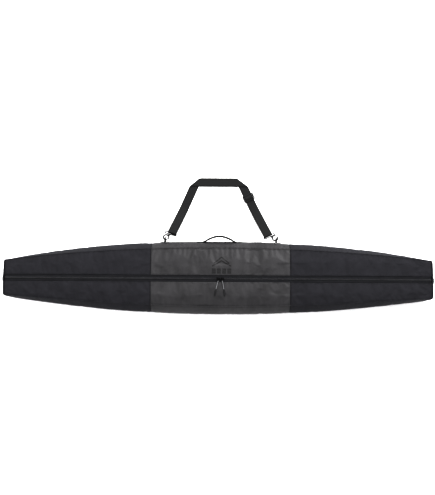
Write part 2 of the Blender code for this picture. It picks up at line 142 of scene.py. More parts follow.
class NodeSheet:
    """A material's node tree with short ways to add and join nodes."""

    def __init__(self, name: str) -> None:
        """Starts a material that holds only its output and a Principled shader."""
        self.material = bpy.data.materials.new(name)
        self.material.use_nodes = True
        self.tree = self.material.node_tree
        self.shader = self.tree.nodes["Principled BSDF"]

    def add(self, kind: str, values: dict | None = None, **settings: object) -> bpy.types.Node:
        """Adds one node.

        Args:
            kind: the node's type, without the ShaderNode prefix.
            values: input name or number to a value, or to a socket that feeds it.
            settings: properties of the node itself.

        Returns:
            The new node.
        """
        node = self.tree.nodes.new("ShaderNode" + kind)
        for key, value in settings.items():
            setattr(node, key, value)
        for key, value in (values or {}).items():
            if isinstance(value, bpy.types.NodeSocket):
                self.tree.links.new(value, node.inputs[key])
            else:
                node.inputs[key].default_value = value
        return node

    def space(self) -> bpy.types.NodeSocket:
        """Adds the object's own coordinates and returns them."""
        return self.add("TexCoord").outputs["Object"]

    def maths(self, operation: str, *values: object) -> bpy.types.NodeSocket:
        """Adds a Math node and returns its result."""
        return self.add("Math", dict(enumerate(values)), operation=operation).outputs[0]

    def blend_colours(self, factor: object, first: object, second: object) -> bpy.types.NodeSocket:
        """Mixes two colours by a factor socket and returns the result."""
        mix = self.add("Mix", {0: factor, 6: first, 7: second}, data_type="RGBA")
        return mix.outputs[2]

    def feed(self, name: str, value: object) -> None:
        """Sets or links one input of the shader."""
        if isinstance(value, bpy.types.NodeSocket):
            self.tree.links.new(value, self.shader.inputs[name])
        else:
            self.shader.inputs[name].default_value = value

    def bump(self, height: bpy.types.NodeSocket, depth: float, strength: float = 1.0) -> None:
        """Feeds the shader's normal from a height, in metres of relief."""
        node = self.add("Bump", {"Height": height, "Distance": depth, "Strength": strength})
        self.feed("Normal", node.outputs["Normal"])


def rgba(colour: tuple[float, float, float], gain: float = 1.0) -> tuple:
    """The colour times a gain, with full alpha."""
    return (*(channel * gain for channel in colour), 1.0)


@dataclass(frozen=True)
class Finish:
    """A surface: its colour, how rough it is and how it is textured."""

    name: str
    colour: tuple[float, float, float]
    roughness: float

    def material(self) -> bpy.types.Material:
        """The finish's material, made the first time it is asked for."""
        title = f"{self.name}_finish"
        found = bpy.data.materials.get(title)
        return found if found else self.paint(NodeSheet(title))

    def paint(self, sheet: NodeSheet) -> bpy.types.Material:
        """Fills in the material's nodes; each kind of finish has its own way."""
        raise NotImplementedError

    def place(self, sheet: NodeSheet) -> tuple:
        """Object coordinates as (vector, along, across), where across wraps over the sides."""
        vector = sheet.space()
        parts = sheet.add("SeparateXYZ", {0: vector}).outputs
        return vector, parts[0], sheet.maths("ADD", parts[1], parts[2])

    def shade(self, sheet: NodeSheet, factor: object, low: float, high: float) -> None:
        """Feeds the base colour, which a factor takes from one gain to another."""
        ends = rgba(self.colour, low), rgba(self.colour, high)
        sheet.feed("Base Color", sheet.blend_colours(factor, *ends))

    def roughen(self, sheet: NodeSheet, factor: object, span: float, below: float) -> None:
        """Feeds the roughness, which a factor raises by a span from a little below its own."""
        sheet.feed("Roughness", sheet.maths("MULTIPLY_ADD", factor, span, self.roughness - below))

    def band(self, sheet: NodeSheet, along: object, pitch: float) -> bpy.types.NodeSocket:
        """A smooth ripple from 0 to 1 of that pitch along a coordinate in metres."""
        wave = sheet.maths("SINE", sheet.maths("MULTIPLY", along, 2 * math.pi / pitch))
        return sheet.maths("MULTIPLY_ADD", wave, 0.5, 0.5)

    def noise(self, sheet: NodeSheet, vector: object, scale: float, detail: float = 3.0) -> object:
        """Noise of that many cells in a metre."""
        values = {"Vector": vector, "Scale": scale, "Detail": detail}
        return sheet.add("TexNoise", values).outputs[0]


@dataclass(frozen=True)
class WovenFabric(Finish):
    """Plain-woven polyester with a slight heather, and painted shade in the gaps between its threads."""

    pitch: float = 0.0011
    relief: float = 0.00012
    contrast: float = 0.10
    sheen: float = 0.08
    gloss: float = 0.22

    def paint(self, sheet: NodeSheet) -> bpy.types.Material:
        """Weaves warp and weft ripples, mottled by noise, and paints shade into the gaps between the
        threads.
        """
        vector, along, across = self.place(sheet)
        warp = self.band(sheet, along, self.pitch)
        weft = self.band(sheet, across, self.pitch)
        weave = sheet.maths("MAXIMUM", warp, weft)
        mottle = self.noise(sheet, vector, 26.0, 6.0)
        thread = self.noise(sheet, vector, 900.0, 2.0)
        tone = sheet.maths("MULTIPLY_ADD", mottle, 0.75, sheet.maths("MULTIPLY", thread, 0.25))
        low = rgba(self.colour, 1 - self.contrast)
        high = rgba(self.colour, 1 + self.contrast)
        ramp = sheet.add("MapRange", {0: tone, 1: 0.35, 2: 0.65})
        cloth = sheet.blend_colours(ramp.outputs[0], low, high)
        # Painted shade: the low places of the weave are darkened where the threads would shade them.
        gap_shade = sheet.maths("MULTIPLY_ADD", weave, -0.35, 0.35)
        sheet.feed("Base Color", sheet.blend_colours(gap_shade, cloth, rgba(self.colour, 0.25)))
        self.roughen(sheet, mottle, 0.10, 0.05)
        sheet.feed("Sheen Weight", self.sheen)
        sheet.feed("Sheen Roughness", 0.45)
        sheet.feed("Specular IOR Level", self.gloss)
        height = sheet.maths("MULTIPLY_ADD", mottle, 2.0, weave)
        sheet.bump(height, self.relief)
        return sheet.material


@dataclass(frozen=True)
class CoatedFabric(Finish):
    """Tarpaulin: a scrim that shows through a smooth, creased coating."""

    pitch: float = 0.0021
    relief: float = 0.00010

    def paint(self, sheet: NodeSheet) -> bpy.types.Material:
        """Lays a scrim grid, fine creases and patches of wear under a satin coat, with painted shade along
        the creases and streaks.
        """
        vector, along, across = self.place(sheet)
        warp = self.band(sheet, along, self.pitch)
        scrim = sheet.maths("MAXIMUM", warp, self.band(sheet, across, self.pitch))
        crease = self.noise(sheet, vector, 55.0, 5.0)
        drawn = sheet.add("Mapping", {"Vector": vector, "Scale": (1.0, 0.22, 0.22)}).outputs[0]
        streak = self.noise(sheet, drawn, 26.0, 3.0)
        patch = self.noise(sheet, vector, 7.0, 3.0)
        # The colour follows the creases and drawn streaks of the relief as painted shade; the broad patches
        # are wear.
        tone = sheet.maths("MULTIPLY_ADD", streak, 0.5, sheet.maths("MULTIPLY", patch, 0.5))
        tone = sheet.maths("MULTIPLY_ADD", crease, 0.2, tone)
        ramp = sheet.add("MapRange", {0: tone, 1: 0.45, 2: 0.75})
        self.shade(sheet, ramp.outputs[0], 0.80, 1.22)
        self.roughen(sheet, crease, 0.16, 0.08)
        sheet.feed("Specular IOR Level", 0.42)
        sheet.feed("Coat Weight", 0.06)
        sheet.feed("Coat Roughness", 0.35)
        height = sheet.maths("MULTIPLY_ADD", crease, 6.0, scrim)
        height = sheet.maths("MULTIPLY_ADD", streak, 14.0, height)
        sheet.bump(height, self.relief)
        return sheet.material


@dataclass(frozen=True)
class Webbing(Finish):
    """Heavy narrow webbing: ribs along it, picks across it, darker at the selvedge."""

    rib: float = 0.0031
    pick: float = 0.0017
    half_width: float = 0.020

    def paint(self, sheet: NodeSheet) -> bpy.types.Material:
        """Uses the piece's own along and across coordinates, so the ribs follow its bends."""
        weave = sheet.add("Attribute", attribute_name="weave").outputs["Vector"]
        parts = sheet.add("SeparateXYZ", {0: weave}).outputs
        rib = self.band(sheet, parts[1], self.rib)
        pick = self.band(sheet, parts[0], self.pick)
        cross = sheet.maths("MULTIPLY", rib, pick)
        fuzz = self.noise(sheet, weave, 700.0, 2.0)
        edge = sheet.maths("DIVIDE", sheet.maths("ABSOLUTE", parts[1]), self.half_width)
        selvedge = sheet.maths("POWER", edge, 8.0)
        # Painted shade between the ribs and picks, and lighter colour on their crowns.
        body = sheet.blend_colours(cross, rgba(self.colour, 0.72), rgba(self.colour, 1.18))
        sheet.feed("Base Color", sheet.blend_colours(selvedge, body, rgba(self.colour, 0.55)))
        self.roughen(sheet, fuzz, 0.15, 0.08)
        sheet.feed("Sheen Weight", 0.06)
        sheet.feed("Specular IOR Level", 0.20)
        sheet.bump(sheet.maths("MULTIPLY_ADD", fuzz, 0.4, cross), 0.00035)
        return sheet.material


@dataclass(frozen=True)
class Metal(Finish):
    """Cast metal under satin lacquer, with fine scratches."""

    metallic: float = 0.20

    def paint(self, sheet: NodeSheet) -> bpy.types.Material:
        """Breaks the gloss up with stretched scratches and specks."""
        vector = sheet.space()
        stretched = sheet.add("Mapping", {"Vector": vector, "Scale": (1.0, 0.15, 1.0)}).outputs[0]
        scratch = self.noise(sheet, stretched, 900.0, 4.0)
        speck = self.noise(sheet, vector, 180.0, 2.0)
        self.shade(sheet, speck, 0.75, 1.35)
        self.roughen(sheet, scratch, 0.28, 0.12)
        sheet.feed("Metallic", self.metallic)
        sheet.feed("Specular IOR Level", 0.22)
        sheet.bump(scratch, 0.00004)
        return sheet.material


@dataclass(frozen=True)
class Moulded(Finish):
    """Moulded plastic with a spark-eroded grain."""

    grain: float = 1400.0

    def paint(self, sheet: NodeSheet) -> bpy.types.Material:
        """Adds a fine grain and slight shine on rubbed places."""
        vector = sheet.space()
        grain = self.noise(sheet, vector, self.grain, 2.0)
        rub = self.noise(sheet, vector, 60.0, 3.0)
        self.shade(sheet, rub, 0.85, 1.25)
        self.roughen(sheet, rub, 0.2, 0.1)
        sheet.bump(grain, 0.00006)
        return sheet.material


@dataclass(frozen=True)
class Braid(Finish):
    """Braided cord: two crossing spirals of strands."""

    strand: float = 0.0016

    def paint(self, sheet: NodeSheet) -> bpy.types.Material:
        """Crosses two slanted ripples."""
        vector = sheet.space()
        parts = sheet.add("SeparateXYZ", {0: vector}).outputs
        one = self.band(sheet, sheet.maths("ADD", parts[0], parts[1]), self.strand)
        two = self.band(sheet, sheet.maths("SUBTRACT", parts[0], parts[1]), self.strand)
        braid = sheet.maths("MAXIMUM", one, two)
        # Painted shade in the grooves between the strands, and lighter colour on their crowns.
        self.shade(sheet, braid, 0.6, 1.1)
        sheet.feed("Roughness", self.roughness)
        sheet.bump(braid, 0.0002)
        return sheet.material


@dataclass(frozen=True)
class Ground(Finish):
    """The pale studio floor."""

    def paint(self, sheet: NodeSheet) -> bpy.types.Material:
        """Keeps the floor matt, with hardly visible tone."""
        vector = sheet.space()
        tone = self.noise(sheet, vector, 1.5, 2.0)
        self.shade(sheet, tone, 0.995, 1.0)
        sheet.feed("Roughness", self.roughness)
        return sheet.material


END_FABRIC = WovenFabric("end_fabric", (0.0400, 0.0395, 0.0445), 0.82, sheen=0.04, gloss=0.18)
CENTRE_FABRIC = CoatedFabric("centre_fabric", (0.0400, 0.0388, 0.0410), 0.60)
LINING = WovenFabric("lining", (0.055, 0.056, 0.060), 0.75, pitch=0.0008, sheen=0.1)
WELT = WovenFabric("seam_binding", (0.0200, 0.0200, 0.0225), 0.90, pitch=0.0008, sheen=0.03, gloss=0.15)
THREAD = Braid("thread", (0.026, 0.026, 0.029), 0.75, strand=0.0006)
STRAP = Webbing("webbing", (0.0400, 0.0400, 0.0405), 0.80)
NARROW = Webbing("narrow_webbing", (0.0330, 0.0330, 0.0345), 0.80, half_width=0.0125)
TAPE = WovenFabric("zip_tape", (0.0330, 0.0330, 0.0360), 0.90, pitch=0.0009, sheen=0.03, gloss=0.12)
COIL = Moulded("zip_coil", (0.060, 0.060, 0.064), 0.48)
METAL = Metal("black_metal", (0.0090, 0.0090, 0.0098), 0.52)
PLASTIC = Moulded("black_plastic", (0.0120, 0.0120, 0.0132), 0.50)
CORD = Braid("pull_cord", (0.210, 0.210, 0.218), 0.80)
PRINT = Moulded("tonal_print", (0.0085, 0.0083, 0.0088), 0.58, grain=700.0)
FLOOR = Ground("studio_floor", (0.93, 0.93, 0.93), 0.9)


# Mesh tools


def spread(start: float, end: float, steps: int) -> list[float]:
    """Evenly spread values, both ends included."""
    return [start + (end - start) * i / steps for i in range(steps + 1)]


def webbing_ring() -> list[tuple[float, float]]:
    """Places around a webbing's section, as shares of its half width and of its half thickness."""
    selvedge, thin = 0.95, 0.35
    shares = (-1.0, -0.93, -0.6, -0.2, 0.2, 0.6, 0.93, 1.0)
    face = [(share, 1.0 if abs(share) < selvedge else thin) for share in shares]
    return face + [(share, -height) for share, height in reversed(face)]


def both_ways(sizes: tuple) -> list[float]:
    """Distances from a middle, largest first, as places on both of its sides."""
    return [-size for size in sizes] + list(reversed(sizes))


def along_path(path: list) -> list:
    """Each point of a plane path with its direction, taken from the neighbours."""
    found = []
    for i, point in enumerate(path):
        before, after = path[max(i - 1, 0)], path[min(i + 1, len(path) - 1)]
        found.append((point, (after[0] - before[0], after[1] - before[1])))
    return found


@dataclass
class Shape:
    """Collects the points and faces of one piece before it becomes an object."""

    points: list = field(default_factory=list)
    faces: list = field(default_factory=list)
    slots: list = field(default_factory=list)
    weave: list = field(default_factory=list)

    def lay(self, points: Array, weave: Array | None = None) -> int:
        """Adds points and returns the number of the first one."""
        first = len(self.points)
        points = np.asarray(points, float).reshape(-1, 3)
        self.points.extend(points.tolist())
        rows = points if weave is None else np.asarray(weave, float).reshape(-1, 3)
        self.weave.extend(rows.tolist())
        return first

    def quads(self, first: int, rows: int, columns: int, slot: int = 0, wrap: bool = False) -> None:
        """Joins a laid grid into quads.

        Args:
            first: the number of the grid's first point.
            rows: how many rows it has.
            columns: how many points a row has.
            slot: the material slot of the quads.
            wrap: whether each row is a closed ring.
        """
        for i in range(rows - 1):
            for j in range(columns if wrap else columns - 1):
                k = (j + 1) % columns
                a, b = first + i * columns, first + (i + 1) * columns
                self.faces.append((a + j, b + j, b + k, a + k))
                self.slots.append(slot)

    def slab(self, outer: Array, inner: Array, slots: tuple[int, int, int] = (0, 1, 0)) -> None:
        """Adds a closed thick sheet between two grids of the same size.

        Args:
            outer: the grid (rows, columns, 3) of the face side.
            inner: the grid of the back side.
            slots: material slots of the face, the back and the rim.
        """
        rows, columns = outer.shape[:2]
        a = self.lay(outer)
        b = self.lay(inner)
        self.quads(a, rows, columns, slots[0])
        start = len(self.faces)
        self.quads(b, rows, columns, slots[1])
        self.faces[start:] = [face[::-1] for face in self.faces[start:]]
        rim = [i * columns for i in range(rows)]
        rim += [(rows - 1) * columns + j for j in range(1, columns)]
        rim += [i * columns + columns - 1 for i in range(rows - 2, -1, -1)]
        rim += [j for j in range(columns - 2, 0, -1)]
        for here, there in zip(rim, rim[1:] + rim[:1]):
            self.faces.append((a + here, b + here, b + there, a + there))
            self.slots.append(slots[2])

    def rings(self, rings: list, closed: bool = False, weave: list | None = None) -> None:
        """Adds a solid through rings that have the same number of points.

        Args:
            rings: closed loops of points, in order.
            closed: whether the last ring joins the first one; otherwise both get caps.
            weave: along and across coordinates for each ring's points.
        """
        count = len(rings[0])
        first = self.lay(np.array(rings, float), None if weave is None else np.array(weave, float))
        self.quads(first, len(rings), count, wrap=True)
        last = first + (len(rings) - 1) * count
        if closed:
            for j in range(count):
                k = (j + 1) % count
                self.faces.append((last + j, first + j, first + k, last + k))
                self.slots.append(0)
            return
        self.faces.append(tuple(range(first + count - 1, first - 1, -1)))
        self.faces.append(tuple(range(last, last + count)))
        self.slots += [0, 0]

    def tube(
        self,
        path: list,
        radius: object,
        sides: int = 12,
        closed: bool = False,
        up: tuple = (0, 0, 1),
    ) -> None:
        """Adds a round tube along a path.

        Args:
            path: points of the centreline.
            radius: one radius, or one for each point.
            sides: how many sides the tube has.
            closed: whether the path is a loop.
            up: a direction that the path never follows.
        """
        points = np.asarray(path, float)
        count = len(points)
        ahead = np.roll(points, -1, 0) - np.roll(points, 1, 0)
        if not closed:
            ahead[0] = points[1] - points[0]
            ahead[-1] = points[-1] - points[-2]
        ahead /= np.linalg.norm(ahead, axis=1)[:, None]
        side = np.cross(ahead, np.array(up, float))
        side /= np.linalg.norm(side, axis=1)[:, None]
        top = np.cross(side, ahead)
        radii = np.broadcast_to(np.asarray(radius, float), (count,))
        turns = np.linspace(0, 2 * math.pi, sides, endpoint=False)
        loops = []
        for point, a, b, size in zip(points, side, top, radii):
            loops.append(point + size * (np.outer(np.cos(turns), a) + np.outer(np.sin(turns), b)))
        self.rings(loops, closed)

    def strip(self, pairs: list, thickness: float, up: list | None = None) -> None:
        """Adds flat webbing with rounded selvedges.

        Args:
            pairs: the two edge points of each cross-section, in order.
            thickness: the webbing's thickness.
            up: the face direction at each section; straight up if left out.
        """
        loops = []
        weave = []
        run = 0.0
        before = None
        ring = webbing_ring()
        for i, (first, second) in enumerate(pairs):
            first, second = Vector(first), Vector(second)
            middle = (first + second) / 2
            run += (middle - before).length if before else 0.0
            before = middle
            half = (second - first) / 2
            face = Vector(up[i]) if up else FLAT_UP
            face = (face - face.project(half)).normalized() * thickness / 2
            loops.append([middle + half * s + face * h for s, h in ring])
            weave.append([(run, s * half.length, 0.0) for s, _ in ring])
        self.rings(loops, weave=weave)

    def stitches(self, path: list, pitch: float = STITCH_PITCH, radius: float = 0.00045) -> None:
        """Adds a row of stitches along a path of points, each a small pointed bead."""
        points = [Vector(p) for p in path]
        lengths = [0.0]
        for a, b in zip(points, points[1:]):
            lengths.append(lengths[-1] + (b - a).length)
        total = lengths[-1]
        count = max(1, int(total / pitch))
        flat = np.array([tuple(p) for p in points])
        for k in range(count):
            ends = []
            for share in STITCH_SPAN:
                at = (k + share) * total / count
                ends.append(Vector([np.interp(at, lengths, flat[:, c]) for c in range(3)]))
            self.bead(ends[0], ends[1], radius)

    def bead(self, start: Vector, end: Vector, radius: float) -> None:
        """Adds one stitch as a four-sided spindle between two points."""
        ahead = (end - start).normalized()
        guide = Vector((0, 0, 1)) if abs(ahead.z) < 0.8 else Vector((0, 1, 0))
        side = ahead.cross(guide).normalized()
        top = side.cross(ahead)
        middle = [start.lerp(end, 0.25), start.lerp(end, 0.75)]
        first = self.lay([start, end])
        for centre in middle:
            self.lay([centre + radius * spoke for spoke in (side, top, -side, -top)])
        a, b = first + 2, first + 6
        for k in range(4):
            n = (k + 1) % 4
            self.faces += [(first, a + k, a + n), (a + k, b + k, b + n, a + n), (b + k, first + 1, b + n)]
            self.slots += [0] * 3

    def cells(self, xs: list, ys: list, zs: list, filled: set) -> None:
        """Adds the outer faces of the filled cells of a box grid."""
        squares = {
            (1, 0, 0): [(1, 0, 0), (1, 1, 0), (1, 1, 1), (1, 0, 1)],
            (-1, 0, 0): [(0, 0, 0), (0, 0, 1), (0, 1, 1), (0, 1, 0)],
            (0, 1, 0): [(0, 1, 0), (0, 1, 1), (1, 1, 1), (1, 1, 0)],
            (0, -1, 0): [(0, 0, 0), (1, 0, 0), (1, 0, 1), (0, 0, 1)],
            (0, 0, 1): [(0, 0, 1), (1, 0, 1), (1, 1, 1), (0, 1, 1)],
            (0, 0, -1): [(0, 0, 0), (0, 1, 0), (1, 1, 0), (1, 0, 0)],
        }
        index = {}
        for cell in sorted(filled):
            for step, square in squares.items():
                if tuple(c + s for c, s in zip(cell, step)) in filled:
                    continue
                face = []
                for corner in square:
                    key = tuple(c + d for c, d in zip(cell, corner))
                    if key not in index:
                        index[key] = self.lay([(xs[key[0]], ys[key[1]], zs[key[2]])])
                    face.append(index[key])
                self.faces.append(tuple(face))
                self.slots.append(0)

    def move(self, place: object) -> None:
        """Sends every point through a function of a Vector."""
        self.points = [tuple(place(Vector(p))) for p in self.points]

    def make(self, name: str, finishes: list[Finish], bevel: float = 0.0) -> bpy.types.Object:
        """Turns the shape into an object.

        Args:
            name: the piece's name.
            finishes: one finish for each material slot.
            bevel: width of a rounded edge, or 0 for none.

        Returns:
            The new object, linked to the scene.
        """
        mesh = bpy.data.meshes.new(name)
        mesh.from_pydata(self.points, [], self.faces)
        mesh.polygons.foreach_set("material_index", self.slots)
        weave = mesh.attributes.new("weave", "FLOAT_VECTOR", "POINT")
        weave.data.foreach_set("vector", np.array(self.weave, np.float32).ravel())
        work = bmesh.new()
        work.from_mesh(mesh)
        bmesh.ops.recalc_face_normals(work, faces=work.faces)
        if bevel:
            edges = [e for e in work.edges if e.is_manifold and e.calc_face_angle(0) > BEVEL_ANGLE]
            bmesh.ops.bevel(work, geom=edges, offset=bevel, segments=2, profile=0.6, affect="EDGES")
        work.to_mesh(mesh)
        work.free()
        mesh.shade_smooth()
        mesh.set_sharp_from_angle(angle=SHARP_ANGLE)
        for finish in finishes:
            mesh.materials.append(finish.material())
        piece = bpy.data.objects.new(name, mesh)
        bpy.context.scene.collection.objects.link(piece)
        return piece


def settle(piece: bpy.types.Object, body: str, slot: str, *nodes: str) -> bpy.types.Object:
    """Rides a piece on its body and hides the nodes that it stands for."""
    if body:
        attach(piece, body)
    if nodes:
        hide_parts(*nodes)
    LOG.info("%s: %d faces", piece.name, len(getattr(piece.data, "polygons", ())))
    return piece


def mould(shape: Shape, node: str, body: str, bevel: float) -> None:
    """Makes a moulded plastic piece that stands for a node, with rounded edges."""
    piece = shape.make(f"{node}_moulded", [PLASTIC], bevel)
    settle(piece, body, "black_plastic", node)


def cast(shape: Shape, node: str, body: str, kind: str = "cast") -> None:
    """Makes a metal piece that stands for a node."""
    settle(shape.make(f"{node}_{kind}", [METAL]), body, "black_metal", node)


def joint(name: str) -> dict:
    """The record's entry for one joint."""
    return next(j for j in frame["record"]["behaviour"]["joints"] if j["name"] == name)


# The bag's outline


@dataclass(frozen=True)
class BagForm:
    """The outline that the sewn panels share, read from the frame.

    Args:
        half_length: from the middle to the outside of an end panel.
        half_width: from the zip to the widest point of the side.
        depth: height of the front above the back.
        panel_end: distance from the middle at which the long panels meet an end panel.
        seams: where the two crosswise seams are along the bag.
        tape_edge: distance from the zip to the edge of the front panels.
        fold: place (y, z) of the fold that lets the front open.
        shift: how far the padding lies to the upper side of the zip.
        taper_left: share of the width lost toward the left end.
        taper_right: share of the width lost toward the right end.
        taper_span: distance from the middle at which that share is reached.
        taper_power: how late the taper sets in.
        mid_bulge: how far the side swells past its seams at the middle.
        end_bulge: the same at the ends.
        back_edge_z: height of the back seam.
        seam_drop: how far the front seam lies below the zip at the ends.
        seam_sag: how much lower it lies at the middle.
        back_curl: width of the back's turned-up edge.
    """

    half_length: float
    half_width: float
    depth: float
    panel_end: float
    seams: tuple[float, float]
    tape_edge: float
    fold: tuple[float, float]
    shift: float
    taper_left: float = 0.395
    taper_right: float = 0.365
    taper_span: float = 0.855
    taper_power: float = 2.2
    mid_bulge: float = 0.031
    end_bulge: float = 0.002
    back_edge_z: float = 0.004
    seam_drop: float = 0.005
    seam_sag: float = 0.009
    back_curl: float = 0.012

    @classmethod
    def from_frame(cls) -> "BagForm":
        """Reads the driving sizes from the boxes of the nodes and from the fold's joint."""
        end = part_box("right_end_panel")
        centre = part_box("upper_flap_centre")
        fold = joint("front_opening")["pos_m"]
        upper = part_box("upper_gusset_centre")[1].y
        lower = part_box("lower_gusset_centre")[0].y
        return cls(
            half_length=end[1].x,
            half_width=(upper - lower) / 2,
            depth=end[1].z,
            panel_end=end[0].x,
            seams=(centre[0].x, centre[1].x),
            tape_edge=centre[0].y,
            fold=(fold[1], fold[2]),
            shift=(upper + lower) / 2,
        )

    def limits(self, section: Section) -> tuple[float, float]:
        """Where a section of the bag starts and ends along X."""
        ends = {
            Section.LEFT: (-self.panel_end + END_GAP, self.seams[0]),
            Section.CENTRE: self.seams,
            Section.RIGHT: (self.seams[1], self.panel_end - END_GAP),
        }
        return ends[section]

    def width_at(self, x: Array) -> Array:
        """Half of the bag's width at x."""
        taper = np.where(np.less(x, 0), self.taper_left, self.taper_right)
        return self.half_width * (1 - taper * (np.abs(x) / self.taper_span) ** self.taper_power)

    def sway(self, x: Array) -> Array:
        """How far the padding lies to the upper side of the zip at x."""
        return self.shift * (1 - (np.abs(x) / self.half_length) ** 6)

    def bulge(self, x: Array) -> Array:
        """How far the side swells past its seams at x."""
        share = (np.abs(x) / self.half_length) ** 3
        return self.end_bulge + (self.mid_bulge - self.end_bulge) * (1 - share)

    def seam_y(self, x: Array, side: Array) -> Array:
        """Distance from the zip to the seams of the upper (side = 1) or lower (-1) half."""
        return self.width_at(x) - self.bulge(x) + side * self.sway(x)

    def seam_z(self, x: Array) -> Array:
        """Height of the front seam at x."""
        return self.depth - self.seam_drop - self.seam_sag * (1 - (x / self.half_length) ** 2)

    def front_z(self, x: Array, y: Array) -> Array:
        """Height of the front at (x, y)."""
        edge = self.seam_y(x, np.sign(y))
        y = np.abs(y)
        fold_y, fold_z = self.fold
        inner = self.depth - (self.depth - fold_z) * (y / fold_y) ** 2
        share = np.clip((y - fold_y) / (edge - fold_y), 0, 1.2)
        outer = fold_z - (fold_z - self.seam_z(x)) * share**1.6
        return np.where(y <= fold_y, inner, outer)

    def side(self, x: Array, t: Array, side: int, inward: float = 0.0) -> tuple[Array, Array]:
        """A point (y, z) of a side, from its back seam (t = 0) to its front seam (t = 1)."""
        low = self.back_edge_z + inward
        high = self.seam_z(x) - inward
        y = self.seam_y(x, side) + (self.bulge(x) - inward) * np.sin(math.pi * t)
        return y, low + (high - low) * t

    def end_outline(self, end: End, steps: int = 12) -> Array:
        """The closed outline (y, z) of the bag at an end panel."""
        x = end.value * self.panel_end
        halves = []
        for side in (1, -1):
            edge = float(self.seam_y(x, side))
            half = [(side * y, float(self.floor_z(x, side * y))) for y in spread(0.0, edge, steps)]
            for t in spread(0.04, 1.0, steps):
                y, z = self.side(x, t, side)
                half.append((side * float(y), float(z)))
            for y in spread(edge * 0.96, 0.0, steps):
                half.append((side * y, float(self.front_z(x, side * y))))
            halves.append(half)
        return np.array(halves[0] + halves[1][-2:0:-1])

    def floor_z(self, x: Array, y: Array) -> Array:
        """Height of the back's outer face, which turns up a little at its edges."""
        edge = self.seam_y(x, np.sign(y))
        turned = (np.abs(y) - edge + self.back_curl) / self.back_curl
        return self.back_edge_z * np.clip(turned, 0, 1)


def normals_of(grid: Array) -> Array:
    """Unit normals of a grid of points."""
    normal = np.cross(np.gradient(grid, axis=0), np.gradient(grid, axis=1))
    return normal / np.linalg.norm(normal, axis=2)[:, :, None]


def ripple(x: float, y: float, seed: float) -> float:
    """Smooth noise from about -1 to 1 at a place."""
    return noise.noise(Vector((x, y, seed)))


# Padded panels


